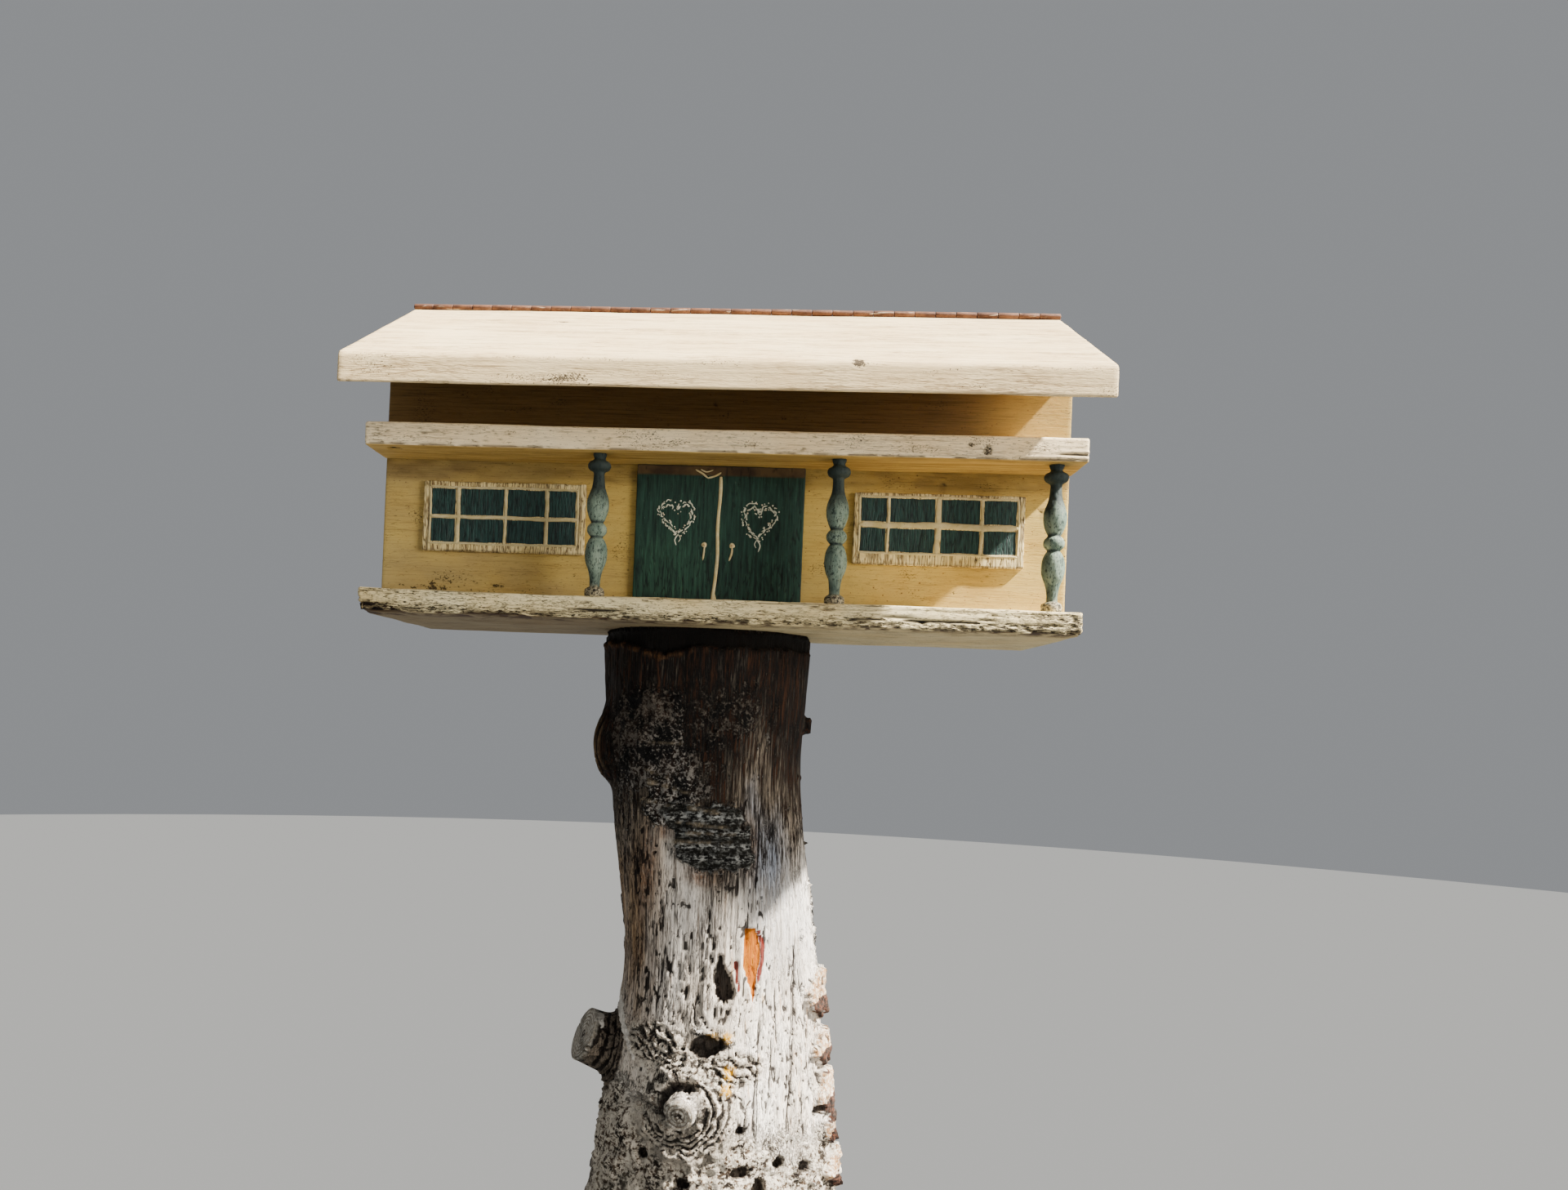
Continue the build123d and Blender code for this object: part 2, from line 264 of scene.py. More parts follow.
class Shader:
    """A procedural material, with one short call for each kind of node."""

    def __init__(self, name, roughness=0.8, specular=0.3):
        self.material = bpy.data.materials.new(name)
        self.material.use_nodes = True
        self.tree = self.material.node_tree
        self.surface = self.tree.nodes["Principled BSDF"]
        self.surface.inputs["Roughness"].default_value = roughness
        self.surface.inputs["Specular IOR Level"].default_value = specular
        self.place = self.tree.nodes.new("ShaderNodeTexCoord").outputs["Object"]
        self.colour = None
        self.normal = None

    def node(self, kind, inputs, **settings):
        """A new node with its settings, and with a value or a link on each named or numbered input."""
        made = self.tree.nodes.new(kind)
        for key, value in settings.items():
            setattr(made, key, value)
        for key, value in inputs.items():
            self.feed(made.inputs[key], value)
        return made

    def feed(self, socket, value):
        """Links or sets a socket. Three numbers in round brackets are a colour in screen values."""
        if hasattr(value, "is_linked"):
            self.tree.links.new(value, socket)
        else:
            is_colour = isinstance(value, tuple) and len(value) == 3
            socket.default_value = rgb(*value) if is_colour else value

    def spread(self, grain):
        """Object coordinates in units of grain, a size in mm for each axis."""
        scale = [1 / (g * MM) for g in grain]
        return self.node("ShaderNodeMapping", {"Vector": self.place, "Scale": scale}).outputs["Vector"]

    def axes(self):
        """Object coordinates along X, Y and Z, in metres."""
        return self.node("ShaderNodeSeparateXYZ", {0: self.place}).outputs

    def noise(self, grain, detail=3.0, rough=0.6, shift=0.0):
        """Noise from 0 to 1 whose grain is a size in mm for each axis."""
        inputs = {"Vector": self.spread(grain), "W": shift, "Scale": 1.0, "Detail": detail,
                  "Roughness": rough}
        return self.node("ShaderNodeTexNoise", inputs, noise_dimensions="4D").outputs["Fac"]

    def cells(self, grain, shift=0.0):
        """Distance to scattered points whose spacing is a size in mm for each axis."""
        inputs = {"Vector": self.spread(grain), "W": shift, "Scale": 1.0}
        return self.node("ShaderNodeTexVoronoi", inputs, voronoi_dimensions="4D").outputs["Distance"]

    def veins(self, grain, width, shift=0.0, detail=2.0):
        """Thin winding lines, 1 in their middle. A larger width makes them broader."""
        away = self.calc("ABSOLUTE", self.minus(self.noise(grain, detail, 0.6, shift), 0.5))
        return self.range(away, 0.0, width, 1.0, 0.0)

    def mark(self, name, low=None, high=None, most=1.0):
        """A float attribute of the mesh, which may run from 0 at low to most at high."""
        value = self.node("ShaderNodeAttribute", {}, attribute_name=name).outputs["Fac"]
        return value if low is None else self.range(value, low, high, 0, most)

    def range(self, value, low, high, to_low=0.0, to_high=1.0):
        inputs = dict(enumerate((value, low, high, to_low, to_high)))
        return self.node("ShaderNodeMapRange", inputs, clamp=True).outputs["Result"]

    def calc(self, operation, first, second=0.0):
        return self.node("ShaderNodeMath", {0: first, 1: second}, operation=operation).outputs[0]

    def times(self, first, *others):
        for other in others:
            first = self.calc("MULTIPLY", first, other)
        return first

    def plus(self, first, second):
        return self.calc("ADD", first, second)

    def minus(self, first, second):
        return self.calc("SUBTRACT", first, second)

    def blend(self, share, first, second):
        inputs = {"Factor": share, "A": first, "B": second}
        return self.node("ShaderNodeMix", inputs, data_type="RGBA", clamp_factor=True).outputs["Result"]

    def tones(self, value, low, high, first, second):
        """The first colour where value is low and the second where it is high."""
        return self.blend(self.range(value, low, high), first, second)

    def coat(self, share, colour):
        """Lays a colour over what the material has so far."""
        self.colour = self.blend(share, self.colour, colour)

    def bump(self, height, depth):
        """Adds relief of a height map, whose full range is depth in mm."""
        inputs = {"Strength": 1.0, "Distance": depth * MM, "Height": height}
        if self.normal is not None:
            inputs["Normal"] = self.normal
        self.normal = self.node("ShaderNodeBump", inputs).outputs["Normal"]

    def done(self, roughness=None):
        self.feed(self.surface.inputs["Base Color"], self.colour)
        if roughness is not None:
            self.feed(self.surface.inputs["Roughness"], roughness)
        if self.normal is not None:
            self.tree.links.new(self.normal, self.surface.inputs["Normal"])
        return self.material


def painted_wood(name, paint, deep, bare, grain, speckle=0.35, crackle=0.0, pits=0.0, hair=0.6, ends=1.0,
                 ticks=0.0, dashes=0.0):
    """Matt old paint on wood. grain is the size of its streaks in mm along X, Y and Z."""
    s = Shader(name, roughness=0.78, specular=0.25)
    streak = s.noise(grain, 4, 0.65)
    cloud = s.noise((45, 45, 30), 3, 0.6, 2.0)

    def laid(long, short):
        """A grain that is long along the board's length and short across it."""
        return [long if g > 10 else short for g in grain]

    s.colour = s.tones(cloud, 0.35, 0.7, paint, deep)
    s.coat(s.range(streak, 0.56, 0.74, 0, 0.55), bare)
    specks = s.range(s.noise((1.6, 1.0, 0.7), 3, 0.7, 5.0), 0.6, 0.72, 0, speckle)
    s.coat(specks, bare)
    patchy = s.range(s.noise(laid(60, 7), 3, 0.6, 6.0), 0.42, 0.6, 0.15, 1.0)
    wrinkle = s.noise(laid(6, 1.0), 3, 0.7, 9.0)
    thin = s.veins(laid(46, 2.0), 0.022 + 0.016 * ticks, 3.0)
    short = s.veins(laid(13, 1.3), 0.024 + 0.03 * ticks, 4.0)
    thin = s.times(s.calc("MAXIMUM", thin, s.times(short, 0.7)), patchy)
    s.coat(s.times(thin, hair), bare)
    s.bump(thin, -0.10)
    s.bump(wrinkle, 0.2)
    if crackle:
        coarse = s.noise(laid(9, 1.3), 3, 0.65, 7.0)
        away = s.calc("ABSOLUTE", s.minus(coarse, 0.5))
        room = s.times(s.mark("worn"), 0.045)
        room = s.plus(room, s.range(s.noise((22, 22, 7), 3, 0.6, 8.0), 0.45, 0.65, -0.012, 0.014))
        broken = s.range(s.minus(away, room), 0.0, 0.010, 1, 0)
        s.coat(s.times(broken, crackle), s.blend(s.mark("worn"), bare, (18, 12, 8)))
        s.bump(broken, -0.25)
    if dashes:
        rows = s.noise(laid(4.2, 0.75), 3, 0.7, 11.0)
        row = s.range(s.plus(rows, s.times(s.mark("worn"), 0.11)), 0.625, 0.65)
        s.coat(s.times(row, dashes), (26, 17, 10))
        s.bump(row, -0.25)
    if pits:
        spread_out = s.range(s.noise((30, 20, 14), 3, 0.6, 12.0), 0.38, 0.58)
        dots = s.range(s.cells((2.8, 2.8, 2.4), 2.0), 0.13, 0.20, 1, 0)
        dots = s.times(dots, spread_out, pits)
        s.coat(dots, (104, 50, 16))
        s.bump(dots, -0.15)
    # Greyer and darker paint toward the wall's left end and its foot.
    s.coat(s.times(s.mark("dust"), 0.6), s.blend(streak, (176, 158, 116), (122, 104, 70)))
    under = s.tones(streak, 0.4, 0.7, (206, 172, 96), (160, 124, 60))
    s.coat(s.mark("under"), s.blend(s.times(thin, 0.6), under, (96, 60, 22)))
    # Painted shade under the porch roof and under the eave.
    s.coat(s.mark("shade"), s.tones(streak, 0.4, 0.65, (96, 70, 40), (62, 44, 24)))
    # Dirt, and on the base's underside painted shade.
    s.coat(s.mark("dirt"), (70, 48, 28))
    dots = s.plus(s.noise((1.3, 1.3, 0.8), 4, 0.75, 14.0), s.times(s.mark("mildew"), 0.28))
    mildew = s.times(s.range(dots, 0.66, 0.70), s.mark("mildew", 0.05, 0.3))
    s.coat(s.times(mildew, 0.9), (38, 26, 16))
    s.bump(mildew, -0.2)
    s.coat(s.mark("crack"), (22, 14, 9))
    # Painted shade inside the empty spindle socket.
    s.coat(s.mark("socket", 0.4, 0.6), (10, 7, 5))
    end_colour = s.blend(s.noise((1.0, 0.8, 0.6), 3), deep, bare)
    s.coat(s.times(s.mark("end"), ends), end_colour)
    pine = s.tones(streak, 0.38, 0.66, (216, 184, 136), (164, 122, 78))
    s.coat(s.mark("inside"), s.blend(s.times(thin, 0.5), pine, (110, 76, 44)))
    s.bump(streak, 0.12)
    return s.done(s.range(streak, 0.3, 0.8, 0.7, 0.9))


# Places that several pieces share
roof_low, roof_high = node_box("front_roof_lid")
wall_low, wall_high = node_box("front_wall")
back_wall_low, back_wall_high = node_box("back_wall")
base_high = node_box("base_board")[1]
pitch = math.radians(26.7)
roof_board_t = 15
roof_t = roof_board_t / math.cos(pitch)
eave_round = 5.0
eave_face = -135
board_face = -95
wall_face = -57
base_top = 1463
entrance_z = 1551
socket_x, socket_y = -188, -85


def roof_under(y):
    """Height of the roof's underside at a distance y from the ridge, either way."""
    return roof_low[2] + (-roof_low[1] - abs(y)) * math.tan(pitch)


wall_light, wall_deep = (208, 178, 96), (192, 156, 74)
cream = painted_wood(
    "cream_roof_paint", (236, 212, 164), (222, 194, 146), (112, 82, 48), (70, 3.0, 0.8), 0.5, hair=0.9,
    ticks=1.0)
porch_cream = painted_wood(
    "cream_porch_paint", (255, 236, 194), (250, 224, 176), (116, 84, 54), (60, 3.0, 0.8), 0.3, pits=0.3,
    ticks=0.5, dashes=0.6)
base_cream = painted_wood(
    "worn_base_paint", (255, 238, 186), (248, 222, 160), (92, 62, 36), (44, 3.0, 0.7), 0.25,
    crackle=0.6, pits=0.4, ticks=0.6, dashes=0.95)
wall_yellow = painted_wood(
    "cream_yellow_wall_paint", wall_light, wall_deep, (104, 70, 32), (26, 2.0, 0.8), 0.85, pits=1.0, hair=0.4,
    ends=0.3, dashes=0.25)


# Roof boards
def roof_relief(points, normals):
    """Fine grain, hairline cracks, a worn eave with mildew, a knot and a chip."""
    y, z = points[:, 1:].T
    at = At(points)
    front = smooth(-normals[:, 1], 0.6, 0.95) * (y < 0)
    hair = at.lines((160, 9, 9), 21, 0.02) * at.areas((50, 20, 20), 5, 0.0, 0.5)
    hair = hair * (1 - 0.7 * front)
    mildew_band = at.spot((-98, eave_face, 1574.5), (42, 9, 3.4))
    mildew_band += 0.6 * at.spot((-40, eave_face, 1577), (60, 9, 2.6))
    knot = at.spot((73, eave_face, 1586), (4.6, 8, 4.4))
    chip = at.spot((-146, eave_face - 1, 1570), (3.4, 3, 1.6))
    chip += at.spot((103, eave_face - 1, 1568.5), (5, 3, 1.4))
    drip = at.spot((-198.5, eave_face, 1570), (1.6, 4, 3))
    low_edge = front * smooth(-z, -1571.2, -1570.0) * at.areas((7, 5, 2), 35, 0.0, 0.5, 2)
    grain = at.noise((60, 2.2, 0.9), 3, 3)
    bump = 0.10 * grain + 0.22 * at.noise((60, 40, 40), 9, 2) - 0.2 * hair
    bump -= 0.6 * chip + 0.5 * knot * at.areas(1.6, 41, -0.2, 0.4, 2) + 0.25 * low_edge
    crack = 0.25 * hair + 0.6 * drip
    dirt = 0.4 * low_edge + 0.25 * knot
    stray = front * at.areas((26, 9, 5), 43, 0.25, 0.7, 2) * 0.35
    split = at.spot((-62, -60, 1626), (15, 4, 9)) + at.spot((-103, -38, 1637), (9, 3, 9))
    split = split * at.areas((9, 1.8, 2), 45, 0.0, 0.3, 2)
    mildew = 0.42 * mildew_band + 1.0 * knot + stray + 0.9 * split + 0.35 * low_edge
    return bump, {"crack": crack, "dirt": dirt, "mildew": mildew}


def roof_board(name, side, body, steps):
    """A roof board cut plumb at the ridge and at the rounded eave."""
    ridge = side * abs(roof_high[1])
    eave = side * abs(roof_low[1])
    corners = [(ridge, roof_under(ridge)), (ridge, roof_under(ridge) + roof_t),
               (eave, roof_under(eave) + roof_t), (eave, roof_under(eave))]
    radii = [0.7, 0.7, eave_round, 0.8]
    middle = roof_t / 2
    spine = [(ridge + side * 7, roof_under(ridge + side * 7) + middle),
             (eave - side * 7, roof_under(eave - side * 7) + middle)]
    if side > 0:
        corners, radii = corners[::-1], radii[::-1]
    plank(name, corners, radii, spine, steps, cream, "roof_paint", roof_relief, body)


roof_board("front_roof_lid", -1, "roof_lid", (1.9, (1.5, 1.5, 0.9, 2.5)))
roof_board("back_roof_board", 1, "house", (2.6, (1.5, 2.2, 2.0, 2.5)))


# Base board and porch roof board
def box_corners(low, high):
    return [(low[1], low[2]), (high[1], low[2]), (high[1], high[2]), (low[1], high[2])]


def thin_board(name, steps, *look):
    """A painted board that stands flat on the wall."""
    low, high = node_box(name)
    middle = low[1] + 1.4
    plank(name, box_corners(low, high), [0.6, 0.1, 0.1, 0.6], [(middle, low[2] + 2), (middle, high[2] - 2)],
          steps, *look)


def empty_socket(points):
    """1 inside the round hole that the missing outer left spindle leaves."""
    return fade(np.hypot(points[:, 0] - socket_x, points[:, 1] - socket_y), 3.2, 4.4)


def base_relief(points, normals):
    """Long black cracks in the front edge, a rotten left corner, a ragged lower edge and painted shade on the
    underside.
    """
    x, y, z = points.T
    at = At(points)
    front = smooth(-normals[:, 1], 0.5, 0.9)
    near_front = smooth(-y, 60, 90)
    long_cracks = 0.7 * at.lines((120, 30, 4), 51, 0.05, 3) * at.areas((60, 30, 9), 57, -0.35, 0.2)
    short_cracks = 0.4 * at.lines((34, 14, 2.6), 53, 0.06, 3) * at.areas((40, 20, 6), 58, 0.1, 0.5)
    right_crack = at.spot((115, board_face, 1455), (95, 8, 0.9)) * at.areas((14, 5, 2), 61, -0.3, 0.3, 2)
    left_crack = at.spot((-65, board_face, 1455), (20, 8, 1.2))
    crack = np.clip(front * (long_cracks + short_cracks + 1.3 * right_crack + 1.3 * left_crack), 0, 1)
    top_crack = (1 - front) * at.lines((150, 6, 20), 63, 0.03) * (normals[:, 2] > 0.5)
    rot = at.spot((-203, board_face, 1450), (32, 16, 10)) * (0.75 + 0.5 * at.noise((6, 4, 2), 65, 2))
    ragged = smooth(-z, -1453.5, -1450.5) * near_front * at.areas((6, 5, 2.4), 67, -0.3, 0.45, 3)
    arris = smooth(z, 1461.0, 1463.0) * front * at.areas((9, 5, 4), 69, 0.1, 0.6, 2)
    grain = at.noise((50, 2.4, 0.9), 71, 3)
    bump = 0.30 * grain * (0.4 + near_front) + 0.3 * at.noise((45, 30, 20), 73, 2)
    bump -= 0.8 * crack + 0.5 * top_crack + 4.0 * np.clip(rot, 0, 1) + 0.9 * ragged + 0.5 * arris
    under = smooth(-normals[:, 2], 0.5, 0.9)
    # The underside is darkened as painted shade, more toward the left; rot, the ragged edge and cracks add
    # dirt.
    dirt = (0.8 - 0.45 * smooth(x, -60, 40)) * under + 0.6 * rot + 0.7 * ragged + 0.4 * crack
    socket = empty_socket(points) * (normals[:, 2] > 0.7)
    crumbs = at.areas((3.6, 3, 1.1), 75, 0.12, 0.42, 3)
    ends = np.maximum(smooth(x, 110, 200), smooth(-x, 90, 190)) * (0.6 + 0.4 * at.noise((30, 9, 9), 77))
    crumbs = crumbs * front * np.clip(0.1 + 0.8 * ends + 0.7 * smooth(-z, -1457, -1452), 0, 1)
    crack = np.clip(crack + 0.5 * top_crack + 0.8 * rot * ragged + 0.7 * ragged * front + 0.25 * crumbs, 0, 1)
    worn = front * np.clip(0.15 + 0.8 * ends + 0.7 * smooth(-z, -1458, -1451) + 0.5 * rot, 0, 1)
    marks = {"crack": crack, "dirt": dirt, "socket": socket, "worn": worn}
    return bump - 0.45 * crumbs - 2.5 * socket, marks


def porch_relief(points, normals):
    """Grain with a knot and scratches, end cracks and a dark ragged lower edge."""
    x, z = points[:, ::2].T
    at = At(points)
    front = smooth(-normals[:, 1], 0.5, 0.9)
    cracks = at.lines((90, 30, 4), 81, 0.05, 3) * at.areas((50, 30, 8), 83, 0.0, 0.45)
    ends = at.spot((197, board_face, 1549), (15, 9, 1.0))
    knot = at.spot((148, board_face, 1550), (3.8, 6, 3.6))
    knot += 0.7 * at.spot((139, board_face, 1553), (2.2, 5, 1.6))
    scratch = at.areas((1.1, 2, 1.5), 85, -0.1, 0.3, 2)
    ragged = smooth(-z, -1547.2, -1545.3) * front * at.areas((7, 5, 2), 87, -0.4, 0.4, 3)
    under = smooth(-normals[:, 2], 0.5, 0.9)
    crack = np.clip(front * (0.6 * cracks + ends) + 0.6 * knot * scratch + 0.6 * ragged, 0, 1)
    bump = 0.2 * at.noise((45, 2.4, 0.9), 89, 3) + 0.25 * at.noise((45, 30, 20), 91, 2)
    socket = empty_socket(points) * (normals[:, 2] < -0.7)
    bump -= 0.7 * crack + 0.6 * ragged + 0.4 * knot + 2.5 * socket
    mildew = 0.9 * knot + 0.4 * front * at.areas((18, 9, 5), 93, 0.1, 0.6, 2)
    worn = front * (0.12 + 0.5 * smooth(np.abs(x + 4), 150, 205))
    return bump, {"crack": crack, "dirt": 0.5 * ragged + 0.2 * knot, "under": under,
                  "socket": socket, "mildew": mildew, "worn": worn}


def flat_board(name, radii, steps, *look):
    """A board that lies level."""
    low, high = node_box(name)
    middle = (low[2] + high[2]) / 2
    plank(name, box_corners(low, high), radii, [(low[1] + 6, middle), (high[1] - 6, middle)], steps, *look)


flat_board("base_board", [0.9, 0.9, 0.8, 1.1], (1.1, (2.6, 2.2, 2.2, 0.8)),
           base_cream, "weathered_board", base_relief)
flat_board("porch_roof_board", [1.5, 0.5, 0.5, 1.5], (1.1, (1.6, 2.5, 1.6, 0.8)),
           porch_cream, "cream_paint", porch_relief)


# Long walls
nail_places = [(-4, 1582), (130, 1538), (187, 1524)]


def wall_relief(points, normals):
    """Horizontal grain, nail spots, mildew, dirt at the foot, and painted shade under the porch roof and
    under the eave.
    """
    x, y, z = points.T
    at = At(points)
    front = smooth(-normals[:, 1], 0.5, 0.9) * (y < 0)
    nails = sum(at.spot((nx, wall_face, nz), (1.5, 3, 1.5)) for nx, nz in nail_places)
    rust = sum(at.spot((nx, wall_face, nz - 2), (2.4, 3, 5)) for nx, nz in nail_places)
    # A band just under the porch roof, darkened as painted shade.
    band = smooth(z + 2.5 * at.noise((30, 9, 9), 94, 2), 1531, 1537) * fade(z, 1548, 1556) * front
    foot = fade(z, base_top + 1, base_top + 17) * smooth(-x, 60, 150) * front
    foot = foot * at.areas((9, 5, 1.3), 93, 0, 0.4, 3)
    line = at.spot((31, wall_face, 1575), (26, 4, 0.8)) * at.areas((4, 3, 1), 95, -0.1, 0.4, 2)
    porch_shade_band = band * (0.6 + 0.4 * at.areas((12, 9, 4), 97, -0.5, 0.4, 3))
    bump = 0.09 * at.noise((40, 2.4, 0.9), 99, 3) + 0.2 * at.noise((70, 30, 40), 101, 2) - 0.5 * nails
    # Painted shade: the band under the porch roof, and the upper wall under the eave, lighter toward the
    # right end where light reaches in.
    shade = 0.6 * porch_shade_band + 0.9 * smooth(z, 1556, 1566) * front * (1 - 0.5 * smooth(x, 130, 200))
    speckled = at.areas((3.2, 3, 1.1), 103, 0.1, 0.45, 3) * foot
    # Greyer and darker toward the wall's left end and toward its foot.
    greying = 0.75 * smooth(-x, 20, 190) + 0.45 * fade(z, base_top + 3, base_top + 37)
    greying = greying * front * fade(z, 1540, 1550) * (0.8 + 0.5 * at.noise((24, 9, 12), 107, 3))
    dirt = 0.15 * foot + 0.3 * rust + 0.3 * line
    mildew = speckled + 0.7 * line + 0.35 * front * at.areas((14, 9, 9), 105, 0.3, 0.7, 2)
    inward = normals[:, 1] * np.where(y < 0, 1, -1)
    return bump, {"crack": 0.8 * nails, "dirt": dirt,
                  "shade": shade, "mildew": mildew, "dust": greying,
                  "inside": smooth(inward, 0.5, 0.9)}


def long_wall(name, low, high, outer, steps):
    """A wall board whose top edge follows the roof."""
    drop = roof_under(high[1] if outer == low[1] else low[1]) - high[2]
    tops = {y: roof_under(y) - drop for y in (low[1], high[1])}
    corners = [(low[1], low[2]), (high[1], low[2]), (high[1], tops[high[1]]), (low[1], tops[low[1]])]
    middle = (low[1] + high[1]) / 2
    spine = [(middle, low[2] + 6), (middle, high[2] - 9)]
    plank(name, corners, [0.5] * 4, spine, steps, wall_yellow, "wall_paint", wall_relief)


long_wall("front_wall", wall_low, wall_high, wall_low[1], (1.8, (2.5, 3.5, 2.5, 1.4)))
long_wall("back_wall", back_wall_low, back_wall_high, back_wall_high[1], (3.0, (2.5, 2.5, 2.5, 3.5)))


# Strokes of raised paint and turned shapes
class Bundle:
    """Closed shells gathered into one mesh."""

    def __init__(self):
        self.points = []
        self.faces = []
        self.marks = []
        self.count = 0

    def add(self, points, faces, mark=0.0):
        self.points.append(points)
        self.faces += [[k + self.count for k in face] for face in faces]
        self.marks.append(np.full(len(points), mark))
        self.count += len(points)

    def make(self, name, material):
        tones = {"tone": np.concatenate(self.marks)}
        made = new_mesh(name, np.concatenate(self.points), self.faces, material, tones)
        shell = bmesh.new()
        shell.from_mesh(made.data)
        bmesh.ops.recalc_face_normals(shell, faces=shell.faces)
        shell.to_mesh(made.data)
        shell.free()
        return made


def through(points, step):
    """A smooth line through points, in steps of about step."""
    p = [np.array(q, float) for q in points]
    p = [2 * p[0] - p[1]] + p + [2 * p[-1] - p[-2]]
    out = []
    for a, b, c, d in zip(p, p[1:], p[2:], p[3:]):
        count = max(1, int(np.linalg.norm(c - b) / step))
        for t in np.arange(count) / count:
            out.append(0.5 * (2 * b + (c - a) * t + (2 * a - 5 * b + 4 * c - d) * t * t
                              + (3 * b - 3 * c + d - a) * t ** 3))
    out.append(p[-2])
    return np.array(out)


def stroke(bundle, path, width, rise, face_y, ends=(0.5, 0.5), mark=0.0, wander=0.12, seed=0):
    """A brush stroke along (x, z) points on a face that looks towards -Y. width and rise are its section."""
    line = through(path, 0.7)
    way = np.gradient(line, axis=0)
    way /= np.linalg.norm(way, axis=1)[:, None]
    side = np.column_stack([way[:, 1], -way[:, 0]])
    length = np.concatenate([[0], np.cumsum(np.linalg.norm(np.diff(line, axis=0), axis=1))])
    total = length[-1]
    at = At(np.column_stack([line[:, 0], np.full(len(line), seed * 7.1), line[:, 1]]))
    wide = width * (1 + wander * at.noise(4.5, 111 + seed, 2))
    wide *= ends[0] + (1 - ends[0]) * smooth(length, 0, min(total / 2, 1.2 * width))
    wide *= ends[1] + (1 - ends[1]) * smooth(total - length, 0, min(total / 2, 1.2 * width))
    shift = 0.10 * width * at.noise(9.0, 131 + seed, 2)
    around = 7
    rows = []
    for a in np.linspace(0, math.pi, around):
        across = shift + math.cos(a) * wide / 2
        up = -0.15 + (rise + 0.15) * math.sin(a) ** 0.7 * (1 + 0.15 * at.noise(1.5, 151 + seed))
        edge = line + side * across[:, None]
        rows.append(np.column_stack([edge[:, 0], face_y - up, edge[:, 1]]))
    points = np.stack(rows, axis=1).reshape(-1, 3)
    bundle.add(points, tube_faces(len(line), around), mark)


def blob(bundle, x, z, radius, rise, face_y, mark=0.0):
    """A small raised dot of paint."""
    around = 12
    rings = []
    for share, height in ((1.0, -0.15), (1.0, 0.35), (0.8, 0.75), (0.45, 1.0)):
        for k in range(around):
            a = 2 * math.pi * k / around
            reach = radius * share * (1 + 0.08 * math.sin(3 * a + x))
            rings.append((x + math.cos(a) * reach, face_y - height * rise, z + math.sin(a) * reach))
    bundle.add(np.array(rings), tube_faces(4, around), mark)


def lathe(profile, segments):
    """Points and faces of a closed turned shape about Z from (radius, height) pairs."""
    angles = np.linspace(0, 2 * math.pi, segments, endpoint=False)
    radius, height = np.array(profile).T
    points = np.stack([np.outer(radius, np.cos(angles)), np.outer(radius, np.sin(angles)),
                       np.repeat(height[:, None], segments, axis=1)], -1).reshape(-1, 3)
    return points, tube_faces(len(profile), segments)


# Window boards
def window_paint():
    """Cream ochre frame with dark upright cracks, and dark green panes."""
    s = Shader("window_board_paint", roughness=0.75, specular=0.3)
    cloud = s.noise((18, 10, 8), 3, 0.6)
    frame = s.tones(cloud, 0.35, 0.65, (232, 212, 156), (216, 192, 128))
    pale = s.range(s.noise((2.2, 2, 1.2), 3, 0.7, 9.0), 0.58, 0.7, 0, 0.5)
    frame = s.blend(pale, frame, (240, 226, 186))
    upright = s.range(s.noise((1.5, 3, 7), 3, 0.7, 3.0), 0.56, 0.60)
    upright = s.calc("MAXIMUM", upright, s.veins((2.2, 4, 24), 0.05, 5.0))
    frame = s.blend(s.times(upright, 0.85), frame, (84, 54, 24))
    streak = s.noise((1.1, 3, 14), 4, 0.65, 5.0)
    s.colour = s.tones(streak, 0.36, 0.66, (40, 72, 66), (20, 38, 36))
    s.coat(s.times(s.veins((1.9, 4, 22), 0.05, 6.0), 0.85), (6, 12, 11))
    s.coat(s.range(s.noise((0.7, 2, 1.4), 3, 0.7, 7.0), 0.64, 0.72, 0, 0.35), (120, 134, 112))
    pane = s.mark("pane", 0.42, 0.58)
    s.colour = s.blend(pane, frame, s.colour)
    s.coat(s.mark("dirt"), (70, 46, 22))
    s.coat(s.mark("crack"), (30, 20, 11))
    s.bump(upright, -0.25)
    s.bump(streak, 0.1)
    return s.done(s.range(pane, 0, 1, 0.8, 0.6))


def stroke_paint(name, light, dark):
    """Thick brushed paint, with dark lines where it cracked."""
    s = Shader(name, roughness=0.7, specular=0.3)
    s.colour = s.tones(s.noise((6, 3, 6), 3), 0.35, 0.65, light, dark)
    crackle = s.range(s.noise((0.7, 1, 0.7), 3, 0.7, 4.0), 0.61, 0.68, 0, 0.65)
    s.coat(crackle, (66, 50, 30))
    s.coat(s.mark("tone"), (176, 112, 34))
    s.bump(s.noise((0.8, 0.8, 0.8), 3, 0.7, 2.0), 0.1)
    return s.done()


window_board = window_paint()
muntin_paint = stroke_paint("muntin_paint", (206, 190, 146), (182, 164, 112))
door_line_paint = stroke_paint("door_line_paint", (222, 206, 158), (200, 178, 122))


